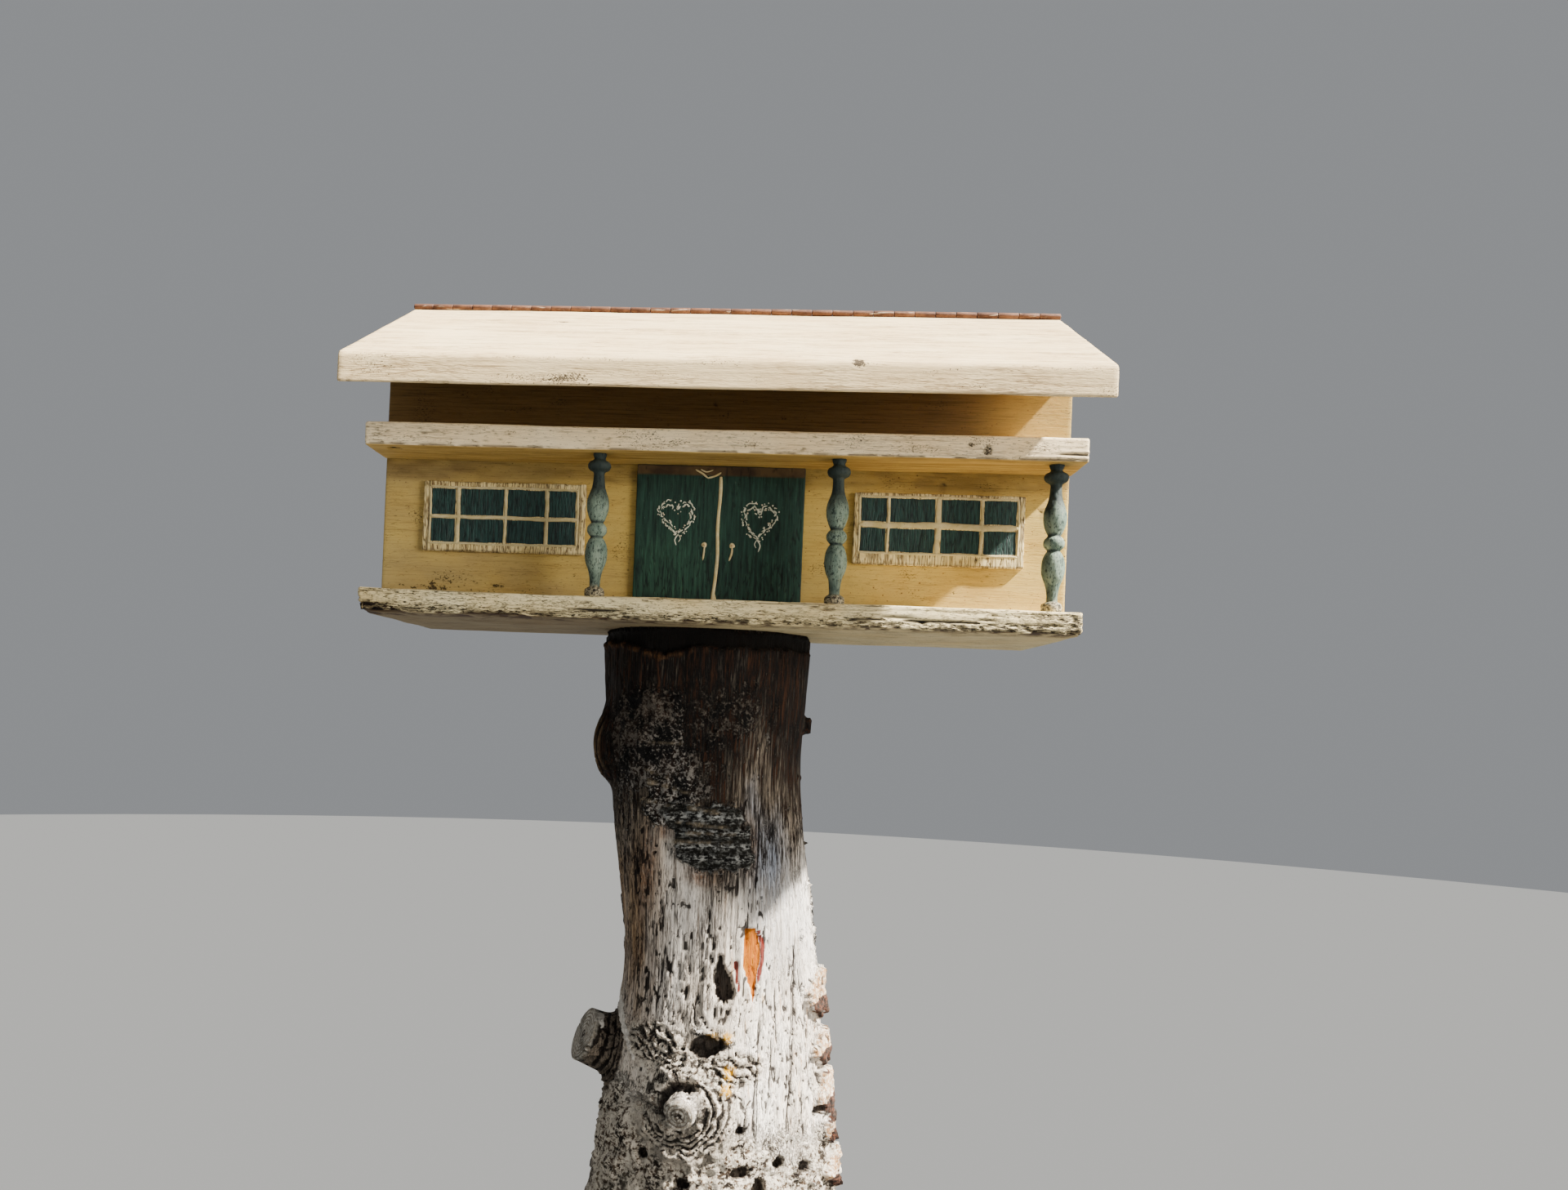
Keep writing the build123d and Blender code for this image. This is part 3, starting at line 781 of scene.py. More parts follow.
def window(name, columns, rows, seed):
    """A thin painted window board: columns and rows are the panes' (low, high) in x and z."""
    low, high = node_box(name)

    def relief(points, normals):
        x, z = points[:, ::2].T
        at = At(points)
        front = smooth(-normals[:, 1], 0.5, 0.9)
        wander = 0.28 * at.noise((7, 5, 7), 171 + seed, 2)
        across, height = x + wander, z + wander
        pane = np.zeros(len(points))
        for x0, x1 in columns:
            for z0, z1 in rows:
                inside = np.minimum(across - x0, x1 - across)
                inside = np.minimum.reduce([inside, height - z0, z1 - height])
                pane = np.maximum(pane, smooth(inside, -0.5, 0.5))
        pane = pane * front
        rail = front * (1 - pane)
        checks = at.lines((3.2, 6, 30), 175 + seed, 0.10, 2) * at.areas((9, 5, 6), 177 + seed, -0.2, 0.3)
        edge = np.minimum.reduce([x - low[0], high[0] - x, z - low[2], high[2] - z])
        worn = fade(edge, 0.2, 1.2) * at.areas((5, 3, 2.5), 179 + seed, 0.0, 0.5, 2)
        bump = -0.28 * pane - 0.35 * rail * checks - 0.3 * worn + 0.06 * at.noise((2, 2, 6), 181 + seed, 2)
        inset = np.minimum(x - low[0], high[0] - x)
        off_stile = np.abs(inset - 3.4 - 0.3 * at.noise((9, 9, 22), 183 + seed, 2))
        stile = front * smooth(0.35 - off_stile, -0.3, 0.2)
        checks = np.maximum(checks, stile)
        sill = front * fade(z, low[2] + 0.4, low[2] + 2.0)
        return bump, {"pane": pane, "crack": 0.7 * rail * checks + 0.3 * worn,
                      "dirt": 0.35 * sill + 0.3 * worn}

    thin_board(name, (0.55, (0.8, 3, 0.8, 0.55)), window_board, "window_paint", relief)
    lines_made = Bundle()
    face = low[1]
    left, right = columns[0][0] - 0.9, columns[-1][1] + 0.9
    foot, head = rows[-1][0] - 0.9, rows[0][1] + 0.9
    for (_, x0), (x1, _) in zip(columns, columns[1:]):
        middle = (x0 + x1) / 2
        path = [(middle - 0.3, foot), (middle + 0.3, (foot + head) / 2), (middle - 0.2, head)]
        stroke(lines_made, path, (x1 - x0) * 0.8, 0.42, face, seed=seed + int(abs(x0)))
    bar = (rows[0][0] + rows[1][1]) / 2
    wave = [(left + (right - left) * k / 6, bar + 0.35 * math.sin(2.1 * k + seed)) for k in range(7)]
    stroke(lines_made, wave, rows[0][0] - rows[1][1], 0.5, face, seed=seed + 2)
    for z in (foot, head):
        wave = [(left + (right - left) * k / 6, z + 0.25 * math.sin(1.7 * k + z)) for k in range(7)]
        stroke(lines_made, wave, 1.3, 0.34, face, seed=seed + 3)
    for x in (left, right):
        path = [(x, foot), (x + 0.25, (foot + head) / 2), (x - 0.2, head)]
        stroke(lines_made, path, 1.3, 0.34, face, seed=seed + 5)
    place(lines_made.make(name + "_muntins", muntin_paint), "house", "window_paint")


window("left_window_board",
       [(-172, -157.4), (-154.5, -128.2), (-126.1, -103.5), (-101, -84.7)],
       [(1511.8, 1527.6), (1495.7, 1509.6)], 1)
window("right_window_board",
       [(83, 97.7), (99.8, 125.5), (129.3, 151.3), (153.7, 172.3)],
       [(1515, 1528.9), (1497.7, 1511.4)], 2)


# Double door, painted on a thin board
door_face = node_box("door_board")[0][1]
lintel_z = 1538.6


def door_paint():
    s = Shader("door_board_paint", roughness=0.7, specular=0.3)
    streak = s.noise((1.4, 3, 22), 4, 0.65)
    cloud = s.noise((20, 10, 16), 3, 0.6, 2.0)
    s.colour = s.tones(streak, 0.36, 0.66, (38, 72, 58), (14, 30, 25))
    fresh = s.times(s.range(cloud, 0.3, 0.6, 0.4, 0.9), s.mark("fresh"))
    s.coat(fresh, s.tones(streak, 0.36, 0.62, (50, 90, 68), (26, 48, 40)))
    bleached = s.range(s.noise((0.8, 2, 3.5), 4, 0.7, 6.0), 0.62, 0.7, 0, 0.35)
    s.coat(bleached, (120, 130, 110))
    slits = s.times(s.veins((2.6, 4, 24), 0.035, 9.0), s.range(s.mark("foot"), 0.0, 1.0, 0.25, 0.95))
    s.coat(slits, (8, 14, 12))
    s.coat(s.mark("lintel"), s.tones(cloud, 0.4, 0.6, (92, 72, 44), (60, 44, 28)))
    s.coat(s.mark("dirt"), (18, 14, 10))
    s.coat(s.mark("crack"), (12, 9, 7))
    s.bump(streak, 0.15)
    return s.done()


def door_relief(points, normals):
    """Upright grain, the brown band over the doors and their middle gap."""
    z = points[:, 2]
    at = At(points)
    front = smooth(-normals[:, 1], 0.5, 0.9)
    lintel = smooth(z, lintel_z, 1540.0) * front
    checks = at.lines((4.5, 6, 46), 201, 0.06, 2) * at.areas((12, 5, 24), 203, 0.0, 0.4) * front
    foot = front * fade(z, base_top, base_top + 8) * at.areas((5, 3, 5), 205, -0.3, 0.4, 2)
    fresh = 1.1 * at.spot((-30, door_face, 1484), (30, 9, 30))
    fresh += 0.4 * at.spot((26, door_face, 1482), (24, 9, 20))
    fresh = np.clip(fresh, 0, 1) * front
    low_part = fade(z, base_top + 11, base_top + 41)
    bump = -0.3 * lintel - 0.3 * checks + 0.08 * at.noise((1.8, 2, 14), 207, 3) - 0.2 * foot
    return bump, {"lintel": lintel, "crack": 0.7 * checks, "dirt": 0.55 * foot, "fresh": fresh,
                  "foot": low_part}


thin_board("door_board", (0.7, (0.8, 3, 0.8, 0.7)), door_paint(), "door_paint", door_relief)

door_lines = Bundle()
gap = [(-1.4, 1463.4), (-0.8, 1475), (0.3, 1492), (-0.2, 1510), (0.6, 1526), (0.5, lintel_z)]
stroke(door_lines, gap, 2.1, 0.4, door_face, (0.9, 0.8), wander=0.06, seed=11)
for path, width, rise, ends, seed in (
        ([(-3.8, 1463.5), (-1.9, 1466.5), (-1.2, 1470)], 1.3, 0.35, (0.5, 0.5), 12),
        ([(1.6, 1463.5), (0.1, 1466.5), (-0.6, 1470)], 1.3, 0.35, (0.5, 0.5), 13),
        ([(-14.5, 1542.6), (-10.5, 1540.3), (-7.0, 1537.6)], 1.0, 0.3, (0.3, 0.5), 14),
        ([(-7.2, 1537.6), (-3.0, 1539.0), (0.6, 1541.2)], 1.1, 0.3, (0.5, 0.3), 15),
        ([(-11.5, 1542.8), (-8.0, 1541.4), (-4.0, 1542.6)], 0.8, 0.25, (0.3, 0.3), 16)):
    stroke(door_lines, path, width, rise, door_face, ends, seed=seed)
handle_z = 1498.3
for x, bend in ((-7.7, -0.4), (8.7, -1.4)):
    blob(door_lines, x, handle_z, 1.6, 0.55, door_face)
    blob(door_lines, x, handle_z, 0.7, 0.95, door_face, mark=0.5)
    drop = [(x + 0.2, 1496.8), (x, 1493.5), (x + bend, 1489.2)]
    stroke(door_lines, drop, 1.15, 0.4, door_face, (0.9, 0.2), seed=int(x) + 20)


wreath_paint = stroke_paint("wreath_paint", (226, 222, 198), (196, 196, 172))


def heart_wreath(middle, foot, wide, tall, flip):
    """A heart of twined twigs with leaves and berries. Its outline is in shares of its width and height,
    and flip is 1, or -1 for its mirror image."""
    outline = [(0.42, 0.0), (0.13, 0.24), (0.02, 0.52), (0.02, 0.80), (0.13, 0.96), (0.30, 1.0),
               (0.47, 0.74), (0.60, 0.94), (0.78, 0.97), (0.99, 0.77), (0.92, 0.54), (0.70, 0.30),
               (0.52, 0.08), (0.43, 0.01)]

    def laid_out(shares):
        return [(middle + flip * (u - 0.5) * wide, foot + v * tall) for u, v in shares]

    bundle = Bundle()
    line = through(laid_out(outline), 0.5)
    draw = random.Random(int(abs(middle) * 10) + flip)
    way = np.gradient(line, axis=0)
    way /= np.linalg.norm(way, axis=1)[:, None]
    side = np.column_stack([way[:, 1], -way[:, 0]])
    count = len(line)
    i = 0
    while i < 2 * count:
        reach = draw.randint(4, 8)
        offset = draw.uniform(-1.6, 1.6)
        bow = draw.uniform(-0.8, 0.8)
        a, b, c = i % count, (i + reach // 2) % count, (i + reach) % count
        path = [line[a] + side[a] * offset, line[b] + side[b] * (offset + bow),
                line[c] + side[c] * (offset - 0.3 * bow)]
        stroke(bundle, path, draw.uniform(0.6, 1.0), 0.26, door_face, (0.5, 0.3), wander=0.25, seed=i)
        for _ in range(2):
            k = (i + draw.randint(0, reach)) % count
            spot_at = line[k] + side[k] * draw.choice((-1, 1)) * draw.uniform(0.9, 2.0)
            blob(bundle, *spot_at, draw.uniform(0.3, 0.55), 0.26, door_face, mark=draw.choice((0, 0, 0.3)))
        i += reach + draw.randint(0, 2)
    for tail, width, rise, seed in (([(0.42, 0.0), (0.52, -0.17), (0.47, -0.36)], 0.8, 0.25, 41),
                                    ([(0.42, 0.0), (0.35, -0.14), (0.41, -0.25)], 0.6, 0.22, 42)):
        stroke(bundle, laid_out(tail), width, rise, door_face, (0.8, 0.2), seed=seed)
    side_name = "left" if middle < 0 else "right"
    place(bundle.make("heart_wreath_" + side_name, wreath_paint), "house", "door_paint")


heart_wreath(24.7, 1502.3, 19.3, 20.1, 1)
heart_wreath(-24.8, 1504.2, 19.3, 18.7, -1)
place(door_lines.make("door_lines", door_line_paint), "house", "door_paint")


# Turned spindles
def spindle_paint():
    s = Shader("spindle_paint", roughness=0.72, specular=0.35)
    cloud = s.noise((7, 7, 12), 3, 0.6)
    s.colour = s.tones(cloud, 0.35, 0.65, (136, 152, 132), (94, 114, 100))
    streak = s.range(s.noise((1.2, 1.2, 3.0), 4, 0.75, 2.0), 0.53, 0.58, 0, 0.85)
    s.coat(streak, (26, 40, 36))
    flakes = s.range(s.noise((1.6, 1.6, 2.2), 4, 0.7, 7.0), 0.62, 0.68, 0, 0.8)
    s.coat(flakes, (170, 172, 142))
    crumbly = s.range(s.noise((1.5, 1.5, 1.1), 4, 0.75, 5.0), 0.44, 0.56)
    foot = s.blend(crumbly, (24, 20, 16), (178, 166, 132))
    s.coat(s.mark("foot"), foot)
    # Painted shade in the necks, on the upper part and on the left side, with the dark checks.
    s.coat(s.mark("groove"), (12, 26, 28))
    s.bump(s.noise((1.2, 1.2, 3), 4, 0.7, 3.0), 0.35)
    return s.done()


# Radius and height over the base, in mm
spindle_profile = [(5.2, -0.6), (5.7, 0.3), (5.8, 2.6), (5.5, 4.4), (4.2, 5.4), (3.2, 6.0), (3.1, 8.6),
    (3.4, 12.0), (4.2, 15.4), (5.5, 18.6), (6.25, 21.6), (6.4, 24.4), (6.2, 27.4), (5.6, 30.3),
    (4.4, 32.9), (3.5, 34.2), (4.3, 35.2), (5.4, 36.6), (5.8, 38.4), (5.5, 40.1), (4.4, 41.6),
    (3.5, 42.6), (4.3, 44.2), (5.5, 47.4), (6.2, 50.0), (6.4, 52.6), (6.2, 55.2), (5.6, 57.8),
    (4.6, 60.6), (3.8, 63.2), (3.3, 66.8), (3.2, 70.8), (4.0, 71.8), (5.9, 73.0), (6.7, 75.0),
    (5.9, 77.0), (4.0, 78.0), (3.2, 78.9), (3.6, 80.2), (4.0, 81.4), (4.0, 82.6)]
spindle_material = spindle_paint()


def spindle(name, seed):
    low, high = node_box(name)
    middle = (low + high) / 2
    profile = through(spindle_profile, 0.62)
    points, faces = lathe(profile, 52)
    points[:, 2] += base_high[2]
    at = At(points + seed * 31.0)
    height = points[:, 2] - base_high[2]
    radius = np.hypot(points[:, 0], points[:, 1])
    pits = at.areas((2.4, 2.4, 3.2), 211, 0.35, 0.6, 3)
    checks = at.lines((5, 5, 30), 213, 0.05, 2)
    foot = fade(height + 1.2 * at.noise(3, 215), 4.5, 8.0)
    top = smooth(height, 68, 79)
    crumble = foot * (0.35 + 0.5 * at.noise((2, 2, 1.6), 217, 2)) + 0.25 * top * at.noise(2.2, 219, 2)
    change = 0.12 * at.noise((4, 4, 9), 221, 2) - 0.18 * pits - 0.2 * checks - 0.35 * crumble
    points[:, 0] *= 1 + change / radius
    points[:, 1] *= 1 + change / radius
    points[:, 0] += middle[0]
    points[:, 1] += middle[1]
    shapes = np.interp(height, profile[:, 1], profile[:, 0])
    # Painted shade: darker in the narrow necks, on the top bead and over the upper part under the porch roof,
    # with the dark checks.
    groove = smooth(-shapes, -4.4, -3.3) * (0.35 + 0.65 * smooth(height, 20, 40)) + 0.45 * checks + 0.9 * top
    groove += 0.8 * smooth(height + 2 * at.noise((5, 5, 9), 223, 2), 50, 62)
    # Painted shade in patches on the left side, away from the light.
    to_left = (middle[0] - points[:, 0]) / radius
    groove += 0.4 * smooth(to_left, 0.2, 0.9) * at.areas((6, 6, 8), 225, -0.6, 0.4, 2)
    marks = {"foot": foot, "groove": np.clip(groove * (1 - foot), 0, 0.9)}
    place(new_mesh(name + "_dressed", points, faces, spindle_material, marks), "house", "spindle_paint", name)


spindle("spindle_inner_left", 1)
spindle("spindle_inner_right", 2)
spindle("spindle_outer_right", 3)


# Ridge hinge
def rust():
    s = Shader("hinge_rust", roughness=0.75, specular=0.4)
    cloud = s.noise((9, 4, 4), 4, 0.65)
    s.colour = s.tones(cloud, 0.35, 0.65, (118, 78, 52), (66, 38, 24))
    s.coat(s.range(s.noise((1.2, 1, 1), 4, 0.7, 3.0), 0.55, 0.7), (60, 32, 20))
    paint_left = s.range(s.noise((14, 3, 2), 3, 0.6, 8.0), 0.6, 0.68, 0, 0.6)
    s.coat(paint_left, (206, 186, 162))
    s.bump(s.noise((0.8, 0.8, 0.8), 4, 0.7, 5.0), 0.12)
    return s.done(s.range(cloud, 0.3, 0.7, 0.6, 0.85))


hinge_rust = rust()
pin_low, pin_high = node_box("hinge_pin")
axis_z = (pin_low[2] + pin_high[2]) / 2
knuckles = 32
barrel_r = 1.9
knuckle_gap = 0.15
leaf_inside, leaf_outside = 0.25, 1.05


def roll(x0, x1, radius, segments=20):
    """A closed roll along X with rounded ends."""
    ease_in = [(0.55, 0.0), (0.86, 0.04), (0.97, 0.14), (1.0, 0.35)]
    profile = [(radius * share, x0 + reach) for share, reach in ease_in]
    profile += [(radius * 0.985, (x0 + x1) / 2)]
    profile += [(radius * share, x1 - reach) for share, reach in reversed(ease_in)]
    points, faces = lathe(profile, segments)
    return np.column_stack([points[:, 2], points[:, 1], points[:, 0] + axis_z]), faces


def hinge_side(name, side, first, body):
    low, high = node_box(name)
    pitch_x = (high[0] - low[0]) / knuckles
    bundle = Bundle()
    y0, y1 = (leaf_inside, leaf_outside) if side > 0 else (-leaf_outside, -leaf_inside)
    top = axis_z - barrel_r - knuckle_gap

    def bar(z0, z1, stations):
        section = [(y0, z0), (y1, z0), (y1, z1), (y0, z1)]
        points = [(x, *corner) for x in stations for corner in section]
        bundle.add(np.array(points), tube_faces(len(stations), 4))

    bar(low[2], top, np.linspace(low[0], high[0], 60))
    for i in range(first, knuckles, 2):
        start = low[0] + i * pitch_x + knuckle_gap
        bundle.add(*roll(start, start + pitch_x - 2 * knuckle_gap, barrel_r + 0.05 * math.sin(5 * i)))
        bar(top - 0.5, top + 1.2, [start + 0.1, start + pitch_x - 0.4])
    place(bundle.make(name + "_dressed", hinge_rust), body, "rusty_hinge", name)


hinge_side("hinge_fixed_leaf", 1, 0, "house")
hinge_side("hinge_lid_leaf", -1, 1, "roof_lid")
pin = Bundle()
pin.add(*roll(pin_low[0] - 0.3, pin_high[0] + 0.3, 0.9))
place(pin.make("hinge_pin_dressed", hinge_rust), "house", "rusty_hinge", "hinge_pin")


# Gables keep their CAD form
def gable_paint():
    """The walls' paint on the gables, bare wood inside and a worn grey rim round each entrance."""
    s = Shader("gable_paint", roughness=0.78, specular=0.25)
    grain = (2.0, 38, 0.9)
    streak = s.noise(grain, 4, 0.65)
    cloud = s.noise((45, 45, 30), 3, 0.6, 2.0)
    s.colour = s.tones(cloud, 0.35, 0.7, wall_light, wall_deep)
    s.coat(s.range(streak, 0.56, 0.74, 0, 0.55), (150, 104, 54))
    thin = s.calc("MAXIMUM", s.veins((2.5, 46, 2.0), 0.016, 3.0), s.veins((2.0, 15, 1.5), 0.014, 4.0))
    s.coat(s.times(thin, 0.6), (130, 88, 44))
    dots = s.range(s.cells((2.8, 2.8, 2.4), 2.0), 0.13, 0.20, 1, 0)
    dots = s.times(dots, s.range(s.noise((20, 30, 14), 3, 0.6, 12.0), 0.42, 0.6))
    s.coat(dots, (104, 50, 16))
    sideways, across, height = s.axes()
    up = s.minus(height, entrance_z * MM)
    reach = s.calc("SQRT", s.plus(s.calc("POWER", across, 2.0), s.calc("POWER", up, 2.0)))
    reach = s.plus(reach, s.times(s.minus(s.noise((3, 3, 3), 4, 0.7), 0.5), 7 * MM))
    rim = s.range(reach, 19.5 * MM, 23.5 * MM, 1, 0)
    worn = s.tones(streak, 0.4, 0.65, (176, 152, 116), (90, 70, 50))
    s.coat(s.times(rim, 0.85), worn)
    foot = s.range(height, base_top * MM, (base_top + 11) * MM, 0.7, 0)
    stain = s.range(s.noise((3, 3, 1.4), 4, 0.75, 15.0), 0.5, 0.56)
    s.coat(s.times(foot, stain), (60, 42, 26))
    pine = s.tones(streak, 0.38, 0.66, (216, 184, 136), (164, 122, 78))
    inside = s.range(s.calc("ABSOLUTE", sideways), 189.4 * MM, 190.2 * MM, 1, 0)
    s.coat(inside, pine)
    s.bump(streak, 0.15)
    s.bump(thin, -0.12)
    s.bump(dots, -0.15)
    return s.done(s.range(streak, 0.3, 0.8, 0.7, 0.9))


gable_material = gable_paint()
for gable in ("left_gable_wall", "right_gable_wall"):
    piece = bpy.data.objects.get(gable) or [o for o in bpy.data.objects if gable in o.name][0]
    piece.data.materials.clear()
    piece.data.materials.append(gable_material)


# Trunk
trunk_y = 6.0
trunk_top = 1450.0
root_lobes, root_turn = 5, 0.8
left_way = np.array((-0.86, -0.34, 0.38)) / np.linalg.norm((-0.86, -0.34, 0.38))
front_way = np.array((-0.22, -0.97, -0.1)) / np.linalg.norm((-0.22, -0.97, -0.1))


def stem(z):
    """Sideways place, mean radius and root lobes of the stem at a height."""
    depth = trunk_top - z
    x = (-6 + 15 * smooth(depth, 60, 230)) * fade(depth, 230, 1450)
    spread = np.clip(1 - z / 520, 0, None)
    radius = 60 + 4.5 * fade(depth, 0, 110) + 19 * smooth(depth, 180, 380) + 53 * spread ** 3
    return x, radius, 0.15 * spread ** 2


def stem_ribs(angle, z):
    """Shallow ribs and hollows that wind slowly round the stem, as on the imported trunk."""
    down = trunk_top - z - 150
    return -1.6 * np.sin(6 * angle + 0.004 * down) - 1.4 * np.sin(3 * angle - 0.006 * down)


def stem_at(z):
    x, radius, _ = stem(np.array([z]))
    return float(x[0]), float(radius[0])


left_z, front_z, lip_z, twig_z = 1178.0, 1170.0, 1377.0, 1394.0
lip_y, twig_y = -6, -2
left_x, left_r = stem_at(left_z)
left_root = np.array((left_x - 0.62 * left_r, trunk_y - 8, left_z))
front_x, front_r = stem_at(front_z)
front_root = np.array((front_x - 11, trunk_y - front_r + 16, front_z))
lip_x, lip_r = stem_at(lip_z)
twig_x, twig_r = stem_at(twig_z)
twig_thick = 5.2


# Each cut branch: length and radius of the sawn face, and how deep the saw's smooth face reaches
left_length, left_face_r = 46.0, 16.8
front_length, front_face_r = 29.0, 8.9
sawn_depth = 3


def along_stub(points, root, way):
    """Distance along a branch and from its middle line."""
    from_root = points - root
    t = from_root @ way
    return t, np.linalg.norm(from_root - t[:, None] * way, axis=1)


def merge(a, b, reach):
    """Joins two forms with a fillet of about reach."""
    h = np.clip(0.5 + 0.5 * (b - a) / reach, 0, 1)
    return b * (1 - h) + a * h - reach * h * (1 - h)


def trunk_form(points):
    """Signed distance, roughly, to the trunk with its cut branches, healed lip and twig."""
    x, y, z = points.T
    middle, radius, lobe = stem(z)
    angle = np.arctan2(y - trunk_y, x - middle)
    wall = radius * (1 + lobe * np.cos(root_lobes * angle + root_turn))
    form = np.hypot(x - middle, y - trunk_y) - wall - stem_ribs(angle, z)
    t, off = along_stub(points, left_root, left_way)
    branch = np.maximum(off - np.interp(t, (0, 22, 46), (25, 18.6, 16.4)), t - left_length)
    form = merge(form, branch, 9)
    t, off = along_stub(points, front_root, front_way)
    collar = off - np.interp(t, (0, 8, 15, 19, 21), (28, 24, 19, 14, 8))
    form = merge(form, np.maximum(collar, t - 20.5), 8)
    cut = np.maximum(off - np.interp(t, (0, 20, 29), (9.6, 9.2, 8.4)), t - front_length)
    form = merge(form, cut, 1.5)
    lip = (np.linalg.norm((points - (lip_x - lip_r + 3.5, lip_y, lip_z)) / (11, 19, 23), axis=1) - 1) * 11
    form = merge(form, lip, 6)
    twig = np.maximum(np.hypot(y - twig_y, z - twig_z) - twig_thick, x - (twig_x + twig_r + 5.4))
    twig = np.maximum(twig, twig_x + 20 - x)
    form = merge(form, twig, 2.5)
    return np.maximum(np.maximum(form, z - trunk_top), -z)


def form_normal(points):
    """Outward direction of the trunk's form at points."""
    gap = 0.4
    sides = [trunk_form(points + step) - trunk_form(points - step) for step in gap * np.eye(3)]
    normal = np.column_stack(sides)
    return normal / np.maximum(np.linalg.norm(normal, axis=1), 1e-9)[:, None]


trunk_voxel = 5.5
# Lowest z and furthest y of the parts whose faces are split once more
finer_zones = [(1075, 1000), (1115, 4)]


def trunk_mesh():
    """Even quads over the whole trunk, finer where the cut branches and the bark are."""
    levels, around = 120, 64
    heights = np.linspace(0, trunk_top, levels)
    angles = np.linspace(0, 2 * math.pi, around, endpoint=False)
    rough = Bundle()
    rows = []
    for height, middle, radius, lobe in zip(heights, *stem(heights)):
        wall = radius * (1 + lobe * np.cos(root_lobes * angles + root_turn))
        rows.append(np.column_stack([middle + wall * np.cos(angles), trunk_y + wall * np.sin(angles),
                                     np.full(around, height)]))
    rough.add(np.concatenate(rows), tube_faces(levels, around))
    for root, way, profile in ((left_root, left_way, [(22, -14), (24, 0), (18.6, 22), (16.4, 46)]),
                               (front_root, front_way, [(26, -6), (24, 8), (18, 15), (9.6, 20), (8.5, 29)]),
                               (np.array((twig_x + 40, twig_y, twig_z)), np.array((1.0, 0, 0)),
                                [(twig_thick, 0), (twig_thick, twig_r - 34.6)]),
                               (np.array((lip_x - lip_r + 12, lip_y, lip_z)), np.array((-1.0, 0, 0)),
                                [(19, 0), (19, 9), (14, 16), (6, 19.5)])):
        points, faces = lathe(profile, 32)
        turn = np.array(Vector((0, 0, 1)).rotation_difference(Vector(way)).to_matrix())
        rough.add(points @ turn.T + root, faces)
    start = rough.make("trunk_start", dead_wood)
    remesh = start.modifiers.new("remesh", "REMESH")
    remesh.mode = "VOXEL"
    remesh.voxel_size = trunk_voxel * MM
    bpy.context.view_layer.update()
    even = bpy.data.meshes.new_from_object(start.evaluated_get(bpy.context.evaluated_depsgraph_get()))
    bpy.data.objects.remove(start)
    work = bmesh.new()
    work.from_mesh(even)
    for lowest_z, furthest_y in finer_zones:
        picked = [f for f in work.faces
                  if f.calc_center_median().z > lowest_z * MM and f.calc_center_median().y < furthest_y * MM]
        edges = list({e for f in picked for e in f.edges})
        bmesh.ops.subdivide_edges(work, edges=edges, cuts=1, use_grid_fill=True)
    mesh = bpy.data.meshes.new("trunk_dressed")
    work.to_mesh(mesh)
    work.free()
    return mesh


